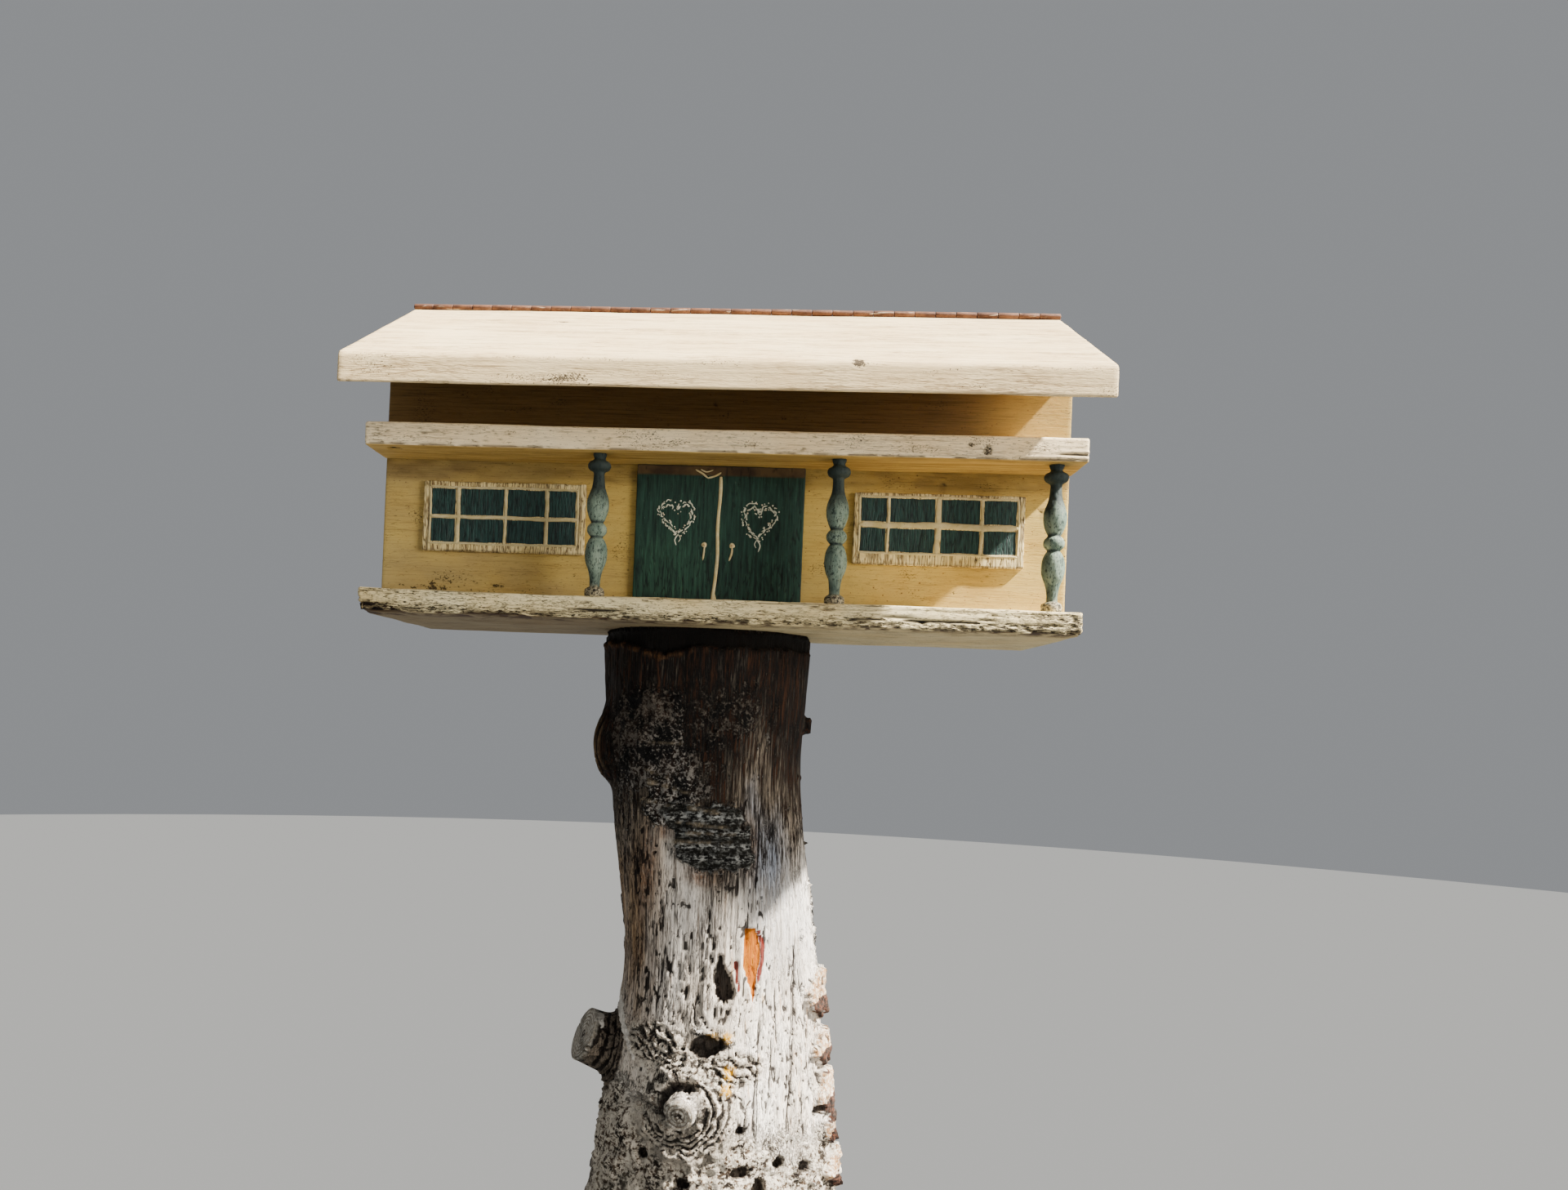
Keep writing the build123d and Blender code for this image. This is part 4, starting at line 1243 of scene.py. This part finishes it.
def trunk_features(points, normals):
    """Bark, fibres, checks, hollows and scars of the trunk: how far each point moves, and its marks.
    Places on its front are x and z in mm, read off the photograph."""
    x, y, z = points.T
    at = At(points)
    front = smooth(-normals[:, 1], -0.1, 0.35)
    side = smooth(np.hypot(normals[:, 0], normals[:, 1]), 0.4, 0.8)

    def near(cx, cz, sx, sz):
        """1 at a place on the front, falling to 0 on an ellipse."""
        d = np.hypot((x - cx) / sx, (z - cz) / sz)
        return front * fade(d, 0.2, 1)

    def nears(*places):
        """The sum of such places, each with its strength first."""
        return sum(strength * near(*place) for strength, *place in places)

    ragged = at.noise((5, 5, 6), 301, 3)
    shreds = at.noise((3.2, 3.2, 13), 302, 3)
    fibre = at.noise((3.0, 3.0, 34), 303, 3)
    ripple = at.noise((9, 9, 60), 305, 2)
    lumps = at.noise((42, 42, 90), 307, 2)
    open_wood = at.areas((30, 30, 70), 311, -0.4, 0.2)
    checks = at.lines((7, 7, 110), 309, 0.05, 2) * open_wood
    low_checks = at.lines((4.5, 4.5, 55), 313, 0.09, 2) * fade(z, 1230, 1285)
    left_checks = at.lines((3.4, 3.4, 60), 314, 0.14, 2) * smooth(-x, 22, 44) * smooth(z, 1180, 1230)

    # Bark: flecked crust at the top left, a striped patch in the middle, and a rough skirt low down
    upper = nears((1, -40, 1390, 33, 36), (1, -30, 1368, 28, 26), (1, -27, 1341, 17, 16),
                  (1, -16, 1353, 22, 9), (0.38, -4, 1404, 42, 24), (0.5, -48, 1380, 18, 34),
                  (0.24, 24, 1392, 34, 34), (0.4, -5, 1365, 24, 34), (0.35, -52, 1350, 14, 40))
    upper = np.clip(upper + 0.22 * ragged + 0.16 * shreds, 0, 1)
    patch_foot, patch_head = 1305, 1350
    patch = front * smooth(z - patch_foot - 0.05 * (x - 5) ** 2 / 6 - 4 * ragged, -3, 4)
    patch = patch * fade(z + 4 * ragged, patch_head - 12, patch_head)
    patch = patch * smooth(x + 23 - 0.45 * (1330 - z) + 6 * ragged, -4, 6)
    patch = patch * smooth(26 - x - 0.3 * (z - 1325) + 4 * ragged, -4, 4)
    stripes = wave((z - 0.06 * x) * 2 * math.pi / 8.4 + 1.6 * at.noise((16, 16, 9), 331, 2))
    back_bark = (1 - front) * smooth(at.noise((50, 50, 70), 317, 2) + 0.3 * shreds, 0.2, 0.5)
    back_bark = back_bark * smooth(z, 900, 1000)
    skirt = fade(z + 14 * at.noise((24, 24, 20), 319, 2) + 0.34 * x, 1140, 1190)
    skirt = skirt * side
    loose = smooth(at.noise((40, 40, 60), 320, 2) + 0.25 * shreds, -0.1, 0.3)
    skirt = skirt * np.where(z < 1060, 0.55 + 0.45 * loose, 1.0)
    low = fade(z + 20 * ragged, 1050, 1140)
    plate = np.abs(at.noise((17, 17, 64), 341, 3))
    furrow = low * side * fade(plate, 0.02, 0.16)
    collar_bark = 0.75 * near(0, 1203, 38, 18) * smooth(ragged + 0.2, -0.4, 0.4)
    bark = np.clip(np.maximum.reduce([upper, patch, 0.8 * back_bark, 0.9 * skirt, collar_bark]), 0, 1)

    # Cut branches and the healed wood round them
    t, off = along_stub(points, front_root, front_way)
    ring_zone = fade(off, 22, 42) * smooth(off, 9, 13) * front
    swirl = np.arctan2(z - front_root[2], x - front_root[0])
    warp = at.noise((11, 11, 11), 322, 2)
    coil = wave(off * 2 * math.pi / 3.3 + 3.0 * swirl + 4.0 * warp + 1.2 * ragged)
    spokes = wave(15 * swirl + 0.3 * off + 4.0 * warp)
    sweep = smooth(at.noise((14, 14, 14), 334, 2) + 0.5 * np.cos(swirl + 0.5), -0.5, 0.5)
    folds = sweep * coil + (1 - sweep) * (0.35 + 0.65 * spokes * smooth(ragged, -0.6, 0.4))
    above = smooth(0.7 * (z - front_root[2]) - 0.75 * (x - front_root[0]), -2, 10)
    crescent = smooth(off, 9.5, 11.5) * fade(off, 14.5, 18 + 2 * ragged) * above * front
    tl, off_left = along_stub(points, left_root, left_way)
    left_zone = fade(off_left, 22, 38) * smooth(-x, 38, 56) * smooth(-tl, -60, 0)
    from_cut = np.linalg.norm(points - left_root - left_length * left_way, axis=1)
    left_folds = wave(from_cut * 2 * math.pi / 3.6 + 2.2 * warp + 1.0 * ragged)
    left_stub = smooth(tl, 8, 22) * (off_left < 27)
    ropes = near(-26, 1201, 27, 19) * smooth(off, 20, 30) + near(22, 1191, 28, 14) * smooth(off, 16, 24)
    ropes = np.clip(1.5 * ropes * (1 + 0.5 * ragged), 0, 1)
    strands = wave((z + 0.45 * x) * 2 * math.pi / 5.2 + 4.5 * warp + 2.6 * ragged)
    stub_grain = at.lines((30, 5, 5), 324, 0.12, 2) + 0.5 * at.lines((14, 3.5, 3.5), 326, 0.12, 2)
    cut_left = (tl > left_length - sawn_depth) * (off_left < left_face_r)
    cut_front = (t > front_length - sawn_depth) * (off < front_face_r)
    cut = np.maximum(cut_left, cut_front).astype(float)

    def segment(x0, z0, x1, z1, half):
        """1 on a line between two places on the front, falling to 0 at half its width."""
        run = np.array((x1 - x0, z1 - z0))
        share = np.clip(((x - x0) * run[0] + (z - z0) * run[1]) / (run @ run), 0, 1)
        d = np.hypot(x - x0 - share * run[0], z - z0 - share * run[1])
        return smooth(half * (1.1 - 0.7 * share) - d - 0.5 * ragged, -0.3, 0.6) * front

    # Painted highlights on the lit upper edges of the left branch's bark, which also stand out as ridges.
    pale = np.maximum(segment(-52, 1219, -38, 1190, 2.8), segment(-64, 1217, -60, 1203, 2.4))
    ledges = np.maximum.reduce([segment(*ledge) for ledge in (
        (-36, 1357, -5, 1350, 1.4), (-36, 1380, -15, 1381, 1.2), (-38, 1364, -22, 1359, 1.0),
        (-40, 1346, -20, 1343, 1.0), (-10, 1343, 14, 1340, 1.1), (-17, 1334, 15, 1332, 1.1),
        (-14, 1328, 17, 1328, 0.9), (-19, 1322, 24, 1324, 1.2))])
    ledges = ledges * smooth(shreds, -0.5, 0.3)

    # Hollows, the split with fresh wood, and long checks
    hollow_foot, hollow_head = 1227, 1256
    split_foot, split_head = 1228, 1273
    flame = 5.6 * smooth(z, split_foot, split_foot + 6) * (1 - 0.85 * smooth(z, 1239, 1255))
    hollow = smooth(flame - np.abs(x - 13.5 + 0.12 * (z - 1240)) + 1.6 * ragged, -0.6, 0.8)
    hollow = hollow * (z > hollow_foot) * (z < hollow_head) * front
    low_hollow = smooth(near(5, 1203, 19, 10) + 0.4 * ragged, 0.4, 0.6)
    pits = nears((1, 28.6, 1133, 8, 6), (1, 39.8, 1124, 6, 10), (1, 50.4, 1136, 5, 6), (1, 67, 1130, 7, 6),
                 (1, 74, 1160, 5, 6), (1, 28, 1156, 5, 4), (1, -5, 1125, 7, 5), (1, -30, 1138, 5, 6))
    pits = smooth(pits + 0.25 * ragged, 0.4, 0.6)
    torn = 0.5 * at.noise((2.2, 2.2, 7), 327, 2)
    width = 5.4 * smooth(z, hollow_foot, hollow_head)
    width = width * (1 - 0.45 * smooth(z, split_head - 9, split_head)) + torn
    centre = 30.6 + 2.0 * smooth(-z, -1252, -1228) - 1.0 * smooth(z, 1262, 1272)
    sliver = smooth(width - np.abs(x - centre), -0.5, 0.6) * (z > split_foot) * (z < split_head) * front
    red_edge = smooth(1.3 - np.abs(x - centre - width - 0.9), 0, 1.0)
    red_edge = red_edge * smooth(z, 1236, 1244) * (z < split_head - 2) * front
    red_edge = red_edge + segment(21, 1252, 23.5, 1236, 1.4)
    stain = near(36, 1231, 4, 8) * smooth(ragged, -0.3, 0.4)
    long_check = sum([smooth(0.9 - np.abs(x - cx - 1.2 * at.noise((30, 30, 40), 323)), 0, 0.9)
                      * smooth(z, z0, z0 + 12) * fade(z, z1 - 12, z1) * front
                      for cx, z0, z1 in ((31.5, 1288, 1348), (55.5, 1145, 1266), (36, 1150, 1226),
                                         (44, 1160, 1215))])
    short_checks = at.areas((1.6, 1.6, 6), 328, 0.55, 0.7, 2) * open_wood

    # The rim of the cut top, torn scabs on the right, and the healed lip
    rim_z = 1434
    arc = rim_z + 8.0 * smooth(-x, 34, 62) + 5.0 * smooth(x, -38, 0) + 1.6 * ragged
    # Above the rim's arc the wood is sunk and painted near black, as painted shade under the base board.
    rim = smooth(z - arc, -0.5, 1.0) * front
    rim_light = smooth(2.2 - np.abs(z - arc + 2.2), 0, 2.0) * front * fade(x, -42, 6)
    rim_light = rim_light * smooth(shreds, -0.5, 0.4)
    scab_side = smooth(x, 50, 62) * smooth(-normals[:, 1], -0.5, 0.2)
    reach_x, reach_r, _ = stem(z)
    from_edge = At(np.column_stack([x - reach_x - reach_r, y, z]))
    scab_places = ((1229, 19), (1196, 14), (1168, 19), (1146, 10), (1122, 14))
    scabs = sum(from_edge.spot((-2, -10, height), (15, 26, half)) for height, half in scab_places)
    scabs = smooth(scabs + 0.4 * ragged, 0.3, 0.5) * scab_side
    # The lower part of each scab, darkened below as painted shadow.
    scab_shadow_share = sum(from_edge.spot((-1, -12, height - 0.5 * half), (16, 26, 0.62 * half))
                   for height, half in scab_places)
    scab_shadow_share = smooth(scab_shadow_share + 0.5 * ragged, 0.35, 0.6)
    scab_edge = scabs * fade(scabs, 0.75, 1.0)
    lip_zone = at.spot((lip_x - lip_r, lip_y, lip_z), (18, 26, 30))
    lip_folds = np.sin(y * 1.15 + 1.4 * at.noise((12, 12, 26), 329, 2))

    move = 0.45 * lumps + 0.55 * ripple + 0.42 * fibre * (1 - 0.5 * bark)
    move -= (1.2 * checks + 1.1 * low_checks + 0.9 * left_checks + 0.7 * short_checks) * (1 - bark)
    move -= 1.6 * long_check
    move += smooth(bark, 0.3, 0.7) * (0.6 + 1.3 * at.noise((4.0, 4.0, 3.4), 325, 3) + 0.5 * shreds)
    move += smooth(patch, 0.2, 0.6) * (1.3 + 1.5 * stripes)
    move += 1.5 * ledges * (1 - cut) + 1.4 * pale
    move += skirt * 1.8 * at.noise((8, 8, 6), 333, 3)
    move += low * side * (3.0 * smooth(plate, 0.05, 0.4) - 3.2 * smooth(0.1 - plate, 0, 0.1))
    move += ring_zone * (2.0 * folds + 0.8 * ragged - 0.4) - 6.0 * crescent
    move += (left_zone + 0.8 * left_stub) * 1.7 * (left_folds - 0.5) - left_stub * 0.6 * stub_grain
    move += ropes * 2.4 * (strands - 0.4)
    move -= 6.5 * hollow + 6.5 * low_hollow + 5.5 * pits + 2.4 * sliver + 1.0 * red_edge
    move += scabs * (5.0 + 1.8 * ragged) + lip_zone * (1.1 * lip_folds + 0.6)
    move -= rim * 3.0 - 1.3 * rim_light
    move *= np.where(cut > 0, 0.05, 1.0)
    keep = smooth(trunk_top - z, 0.2, 5) * smooth(z, 0.2, 6)
    move *= np.where(side > 0.3, 0.25 + 0.75 * keep, 0.0)

    blue = nears((1, 36, 1328, 24, 62), (0.7, 20, 1352, 14, 26), (0.4, 48, 1270, 30, 60))
    blue = np.clip(blue, 0, 1)
    # Darker toward the top: the wood's own darkening, with the shadow of the house above painted in.
    dark = smooth(z + 30 * at.noise((16, 16, 60), 315, 2) + 0.3 * np.abs(x) - 24 * blue, 1256, 1412)
    # Painted sunlight on the lit lower right of the front: dark fibres fade there, and warm streaks and dark
    # dashes of the wood are drawn there.
    clean = smooth(x + 5 * shreds, 10, 24) * fade(z, 1285, 1315) * smooth(z, 1140, 1170) * front
    check = (checks + 0.9 * left_checks + 0.7 * short_checks) * (1 - 0.7 * bark) + low_checks * (1 - bark)
    # Painted shade in the creases between the folds and ropes round the branches.
    valleys = np.maximum(ring_zone * (1 - folds), np.maximum(left_zone, 0.9 * left_stub) * (1 - left_folds))
    valleys = np.maximum(valleys, 0.85 * ropes * (1 - strands))
    # Painted shade darkens the hollows, the pits and the crescent over the front branch.
    marks = {"old": low, "furrow": furrow, "soil": 1 - smooth(z + 45 * lumps + 20 * shreds, 10, 150),
             "bark": bark, "dark": dark, "hole": hollow + low_hollow + pits + crescent,
             "amber": sliver, "red": red_edge, "stain": stain, "cut": cut,
             "scab": scabs, "low_scab": scab_shadow_share, "clean": clean, "lip": lip_zone * (0.5 + 0.5 * lip_folds),
             "pale": pale + 0.9 * scab_edge, "rim": rim, "tan": rim_light,
             "ledge": ledges, "patch": smooth(patch, 0.2, 0.6),
             "stripe": smooth(patch, 0.2, 0.7) * (1 - stripes),
             "check": check + long_check + 0.8 * left_stub * stub_grain, "skirt": skirt,
             "lichen": nears((1, 8.7, 1208.7, 6, 5), (1, 18, 1209, 5, 5), (1, 20, 1189, 5, 6),
                             (1, 18.5, 1180, 5, 5)),
             "rust": nears((1, 2, 1303, 22, 12), (0.9, 26, 1320, 8, 26), (1, -24, 1330, 9, 10),
                           (0.8, -12, 1352, 16, 7), (0.7, -27, 1376, 14, 7), (0.8, -36, 1306, 12, 40)),
             "stub": left_stub, "ring": ring_zone + left_zone + ropes,
             "valley": valleys,
             "brown": smooth(-x + 6 * fibre, 14, 44) * smooth(z, 1176, 1230),
             "blue": blue}
    marks = {mark: np.clip(values, 0, 1) for mark, values in marks.items()}
    marks["growth"] = np.where(cut_front, off, off_left) / 20
    return move, marks


def dead_wood_paint():
    """Bleached dead wood with fibres and checks, dark and brown near its top, and flecked bark."""
    s = Shader("dead_wood", roughness=0.85, specular=0.2)
    cloud = s.noise((26, 26, 70), 3, 0.6)
    fibre = s.noise((1.5, 1.5, 30), 5, 0.72, 1.0)
    fine = s.noise((0.55, 0.55, 7), 4, 0.72, 2.0)
    slits = s.calc("MAXIMUM", s.veins((3.4, 3.4, 60), 0.03, 11.0), s.veins((1.8, 1.8, 24), 0.022, 12.0))
    slits = s.times(slits, s.range(s.noise((20, 20, 40), 3, 0.6, 13.0), 0.36, 0.52))
    speck = s.noise((2.6, 2.6, 2.4), 4, 0.72, 6.0)
    blotch = s.noise((11, 11, 14), 3, 0.6, 8.0)

    bleached = s.tones(cloud, 0.35, 0.65, (252, 244, 232), (226, 212, 194))
    # Dark fibres fade in the painted sunlit patch.
    calm = s.range(s.mark("clean"), 0.0, 1.0, 1.0, 0.3)
    bleached = s.blend(s.times(s.range(fibre, 0.53, 0.64, 0, 0.8), calm), bleached, (126, 106, 88))
    warm = s.range(s.noise((3.2, 3.2, 60), 3, 0.6, 22.0), 0.6, 0.7, 0, 0.7)
    bleached = s.blend(s.times(s.mark("clean"), warm), bleached, (218, 164, 108))
    bluish = s.tones(fibre, 0.42, 0.60, (148, 157, 170), (44, 44, 48))
    s.colour = s.blend(s.times(s.mark("blue"), s.range(cloud, 0.3, 0.6, 0.75, 1.0)), bleached, bluish)
    tan = s.tones(fibre, 0.36, 0.58, (204, 172, 132), (92, 60, 36))
    s.coat(s.times(s.mark("brown"), s.range(cloud, 0.3, 0.6, 0.5, 1.0)), tan)
    rusty = s.tones(fibre, 0.4, 0.6, (150, 96, 54), (70, 38, 18))
    s.coat(s.times(s.mark("rust"), s.range(speck, 0.35, 0.6, 0.3, 0.9)), rusty)
    hairs = s.range(fine, 0.56, 0.62, 0, 0.8)
    s.coat(s.times(hairs, calm), (56, 41, 32))
    s.coat(s.times(slits, 0.9, calm), (34, 24, 18))
    dark_fibre = s.range(s.noise((1.0, 1.0, 22), 4, 0.74, 4.0), 0.575, 0.62)
    dark_fibre = s.times(dark_fibre, s.range(cloud, 0.35, 0.6, 0.45, 0.95))
    s.coat(s.times(dark_fibre, calm), (30, 21, 16))
    dashes = s.range(s.cells((3.4, 3.4, 8.0), 31.0), 0.10, 0.15, 1, 0)
    dashes = s.times(dashes, s.range(s.noise((14, 14, 20), 3, 0.6, 32.0), 0.46, 0.56))
    s.coat(s.times(dashes, s.mark("clean"), 0.9), (30, 20, 14))
    holes = s.range(s.cells((6, 6, 8), 1.0), 0.08, 0.12, 1, 0)
    s.coat(s.times(holes, 0.9), (18, 13, 10))

    # Toward the top the wood turns grey brown and then nearly black, partly its own darkening and partly the
    # house's painted shadow
    dusk = s.tones(fibre, 0.44, 0.56, (138, 124, 106), (20, 15, 12))
    dusk = s.blend(s.times(slits, 0.9), dusk, (12, 9, 7))
    dusk = s.blend(hairs, dusk, (18, 13, 10))
    night = s.tones(fibre, 0.50, 0.66, (11, 7, 5), (74, 46, 28))
    lift = s.plus(s.mark("dark"), s.times(s.minus(fibre, 0.5), 1.1))
    s.coat(s.range(lift, 0.12, 0.55), dusk)
    s.coat(s.range(lift, 0.55, 0.95), night)
    folded = s.tones(fine, 0.4, 0.6, (158, 130, 92), (58, 40, 26))
    s.coat(s.mark("lip", 0.25, 0.8, 0.85), folded)

    # Long thin checks, drawn by place
    across, depth, height = s.axes()
    sway = s.times(s.minus(s.noise((26, 26, 26), 4, 0.6, 24.0), 0.5), 7 * MM)
    for middle, foot, head in ((55.5, 1132, 1268), (31.5, 1290, 1350), (36.5, 1148, 1222),
                               (20.5, 1252, 1292)):
        away = s.calc("ABSOLUTE", s.minus(s.plus(across, sway), middle * MM))
        starts = s.range(height, foot * MM, (foot + 8) * MM)
        stops = s.range(height, (head - 8) * MM, head * MM, 1, 0)
        drawn = s.times(s.range(away, 0.16 * MM, 0.5 * MM, 0.95, 0), s.times(starts, stops))
        s.coat(s.times(drawn, s.range(depth, 0, -20 * MM)), (26, 18, 14))

    # Bark breaks up into flecks at its edges
    small = s.noise((1.5, 1.5, 1.7), 4, 0.75, 26.0)
    mixed = s.plus(s.times(speck, 0.5), s.times(small, 0.5))
    flecks = s.range(s.plus(mixed, s.times(blotch, 0.4)), 0.71, 0.745)
    # The ash flecks darken with the painted shadow toward the top.
    ash = s.blend(s.mark("dark"), (228, 222, 212), (96, 88, 78))
    crust = s.blend(flecks, s.tones(blotch, 0.45, 0.62, (8, 6, 5), (48, 32, 20)), ash)
    layers = s.plus(s.times(s.noise((5.0, 5.0, 1.5), 4, 0.74, 21.0), 0.6), s.times(speck, 0.4))
    scaly = s.tones(layers, 0.49, 0.55, (12, 11, 8), s.blend(blotch, (150, 146, 134), (206, 210, 208)))
    crust = s.blend(s.times(s.mark("patch"), 0.9), crust, scaly)
    low_flecks = s.range(s.plus(speck, s.times(blotch, 0.4)), 0.64, 0.73)
    low_crust = s.blend(low_flecks, s.tones(blotch, 0.4, 0.6, (34, 25, 18), (104, 82, 62)),
                        (228, 216, 196))
    crust = s.blend(s.mark("skirt"), crust, low_crust)
    crust = s.blend(s.times(s.mark("stripe"), s.range(speck, 0.5, 0.7, 1.0, 0.6)), crust, (22, 20, 13))
    broken = s.plus(s.minus(speck, 0.5), s.minus(fine, 0.5))
    edge = s.range(s.plus(s.mark("bark"), s.times(broken, 1.5)), 0.36, 0.52)
    s.coat(edge, crust)
    s.coat(s.times(s.mark("ledge"), s.range(fine, 0.35, 0.6, 1.0, 0.2)), (164, 148, 122))

    flake = s.noise((7, 7, 12), 4, 0.68, 16.0)
    plates = s.tones(flake, 0.4, 0.62, (168, 156, 140), (96, 82, 68))
    plates = s.blend(s.range(s.plus(speck, s.times(blotch, 0.4)), 0.72, 0.80), plates,
                     (214, 206, 190))
    plates = s.blend(s.range(fine, 0.52, 0.6, 0, 0.7), plates, (54, 43, 34))
    plates = s.blend(s.range(s.noise((40, 40, 60), 3, 0.6, 17.0), 0.5, 0.62, 0, 0.6), plates, (120, 122, 92))
    s.coat(s.times(s.mark("old"), s.range(s.plus(s.mark("bark"), broken), 0.3, 0.5)), plates)
    groove = s.plus(s.mark("furrow"), s.times(broken, 0.8))
    s.coat(s.range(groove, 0.3, 0.6, 0, 0.92), (28, 21, 16))
    earth = s.tones(flake, 0.4, 0.6, (84, 70, 52), (44, 40, 26))
    s.coat(s.range(s.plus(s.mark("soil"), broken), 0.3, 0.9, 0, 0.85), earth)
    ridge = s.tones(speck, 0.46, 0.6, (230, 219, 200), (116, 96, 76))
    s.coat(s.mark("ring", 0.2, 0.8, 0.85), ridge)
    stub = s.tones(fine, 0.42, 0.6, (136, 120, 100), (34, 25, 19))
    s.coat(s.mark("stub", 0.2, 0.7, 0.9), stub)
    # Painted shade in the creases of the folds and ropes.
    deep = s.range(s.plus(s.mark("valley"), s.times(broken, 1.3)), 0.44, 0.62, 0, 0.92)
    s.coat(deep, (24, 17, 13))
    s.coat(s.mark("tan"), s.tones(fine, 0.40, 0.56, (128, 88, 48), (46, 29, 17)))
    s.coat(s.mark("stain"), (226, 176, 78))
    inner = s.tones(speck, 0.44, 0.6, (178, 134, 88), (244, 230, 208))
    # Painted shadow under the scabs, dark rust brown.
    scab_shadow_colour = s.tones(speck, 0.46, 0.58, (24, 10, 4), (86, 42, 18))
    inner = s.blend(s.range(s.plus(s.mark("low_scab"), s.times(broken, 0.8)), 0.35, 0.6), inner, scab_shadow_colour)
    s.coat(s.mark("scab", 0.3, 0.6, 0.95), inner)
    s.coat(s.mark("check", 0.3, 0.65, 0.92), (26, 18, 14))
    # Painted highlights on the left branch's bark edges, and the pale rims of the scabs.
    s.coat(s.mark("pale", 0.35, 0.6, 0.95), (240, 232, 218))
    lichen = s.times(s.mark("lichen"), s.range(speck, 0.44, 0.50))
    s.coat(lichen, (226, 168, 14))
    s.coat(s.mark("red", 0.3, 0.6, 0.95), (112, 26, 8))
    # Painted shade inside the hollows and pits.
    s.coat(s.mark("hole", 0.35, 0.65, 0.93), s.tones(fine, 0.46, 0.62, (30, 24, 20), (84, 72, 62)))
    # Painted shade under the base board, above the rim's arc.
    s.coat(s.mark("rim", 0.3, 0.7, 0.95), (12, 8, 5))
    amber = s.tones(fibre, 0.36, 0.6, (178, 106, 0), (150, 74, 0))
    s.coat(s.mark("amber", 0.45, 0.6), amber)
    end_wood = s.tones(s.noise((2, 2, 2), 4, 0.65, 9.0), 0.4, 0.6, (222, 216, 202), (160, 148, 130))
    turns = s.plus(s.times(s.mark("growth"), 56.0), s.times(blotch, 5.0))
    end_wood = s.blend(s.range(s.calc("SINE", turns), 0.2, 0.95, 0, 0.75), end_wood, (104, 88, 70))
    end_wood = s.blend(s.range(s.minus(speck, s.mark("growth")), 0.36, 0.44), end_wood, (50, 40, 32))
    s.coat(s.mark("cut"), end_wood)
    s.bump(fibre, 0.8)
    s.bump(fine, 0.5)
    s.bump(s.times(speck, edge), 2.2)
    s.bump(holes, -0.6)
    s.bump(slits, -0.5)
    return s.done(s.range(fibre, 0.3, 0.7, 0.75, 0.92))


dead_wood = dead_wood_paint()


def trunk():
    mesh = trunk_mesh()
    points = np.empty(3 * len(mesh.vertices))
    mesh.vertices.foreach_get("co", points)
    points = points.reshape(-1, 3) / MM
    for _ in range(5):
        points = points - form_normal(points) * np.clip(trunk_form(points), -4, 4)[:, None]
    points[:, 2] = np.clip(points[:, 2], 0, trunk_top)
    normals = form_normal(points)
    move, marks = trunk_features(points, normals)
    points = points + normals * move[:, None]
    for root, way, end, radius in ((left_root, left_way, left_length, left_face_r),
                                   (front_root, front_way, front_length, front_face_r)):
        t, off = along_stub(points, root, way)
        face = (t > end - sawn_depth) & (off < radius)
        points[face] += (end - t[face])[:, None] * way
    points[:, 2] = np.clip(points[:, 2], 0, trunk_top)
    mesh.vertices.foreach_set("co", (points * MM).ravel())
    place(smooth_piece(mesh, dead_wood, marks), "house", "dead_wood", "trunk")


trunk()


# Camera at the photograph's viewpoint
image_w = 1920
sensor_w = 36
focal_px = 1472.97
eye = Vector((30.32, -767.14, 1399.73)) * MM
yaw, tilt, lean = 0.07798, 0.002744, 0.041622
centre_right_px, centre_down_px = -141.9, 138.0


def photo_camera():
    right = Vector((math.cos(yaw), math.sin(yaw), 0))
    ahead = Vector((-math.sin(yaw) * math.cos(tilt), math.cos(yaw) * math.cos(tilt), math.sin(tilt)))
    up = right.cross(ahead)
    leaning_right = math.cos(lean) * right + math.sin(lean) * up
    leaning_up = -math.sin(lean) * right + math.cos(lean) * up
    data = bpy.data.cameras.new("camera")
    data.sensor_fit = "HORIZONTAL"
    data.sensor_width = sensor_w
    data.lens = sensor_w * focal_px / image_w
    data.shift_x = -centre_right_px / image_w
    data.shift_y = centre_down_px / image_w
    data.clip_start = 0.01
    camera = add_object("camera", data)
    turn = Matrix((leaning_right, leaning_up, -ahead)).transposed().to_4x4()
    camera.matrix_world = Matrix.Translation(eye) @ turn
    bpy.context.scene.camera = camera


def floor_and_light():
    """A pale floor, an even sky, a light from above, and two from the right that leave the floor plain."""
    bpy.ops.mesh.primitive_circle_add(vertices=96, radius=14, fill_type="NGON")
    floor = bpy.context.object
    floor.name = "floor"
    s = Shader("pale_floor", roughness=0.9)
    s.colour = (226, 224, 218)
    floor.data.materials.append(s.done())
    plain = bpy.data.collections.new("not_in_sun")
    plain.objects.link(floor)
    plain.collection_objects[0].light_linking.link_state = "EXCLUDE"
    for name, way, energy, spread, colour, linked in (
            ("sun", (-4.0, 1.0, -4.2), 27.0, 2.5, (1.0, 0.95, 0.87), plain),
            ("low_right", (-1.7, 1.0, -0.2), 2.6, 25, (1.0, 0.95, 0.88), plain),
            ("overhead", (0, 0, -1), 1.5, 40, (1.0, 1.0, 1.0), None)):
        light = bpy.data.lights.new(name, "SUN")
        light.energy = energy
        light.angle = math.radians(spread)
        light.color = colour
        lamp = add_object(name, light)
        lamp.rotation_euler = Vector(way).to_track_quat("-Z", "Y").to_euler()
        if linked:
            lamp.light_linking.receiver_collection = linked
    world = bpy.data.worlds.new("sky")
    bpy.context.scene.world = world
    world.use_nodes = True
    sky = world.node_tree.nodes["Background"]
    sky.inputs["Color"].default_value = (0.93, 0.96, 1.0, 1)
    sky.inputs["Strength"].default_value = 0.3


photo_camera()
floor_and_light()
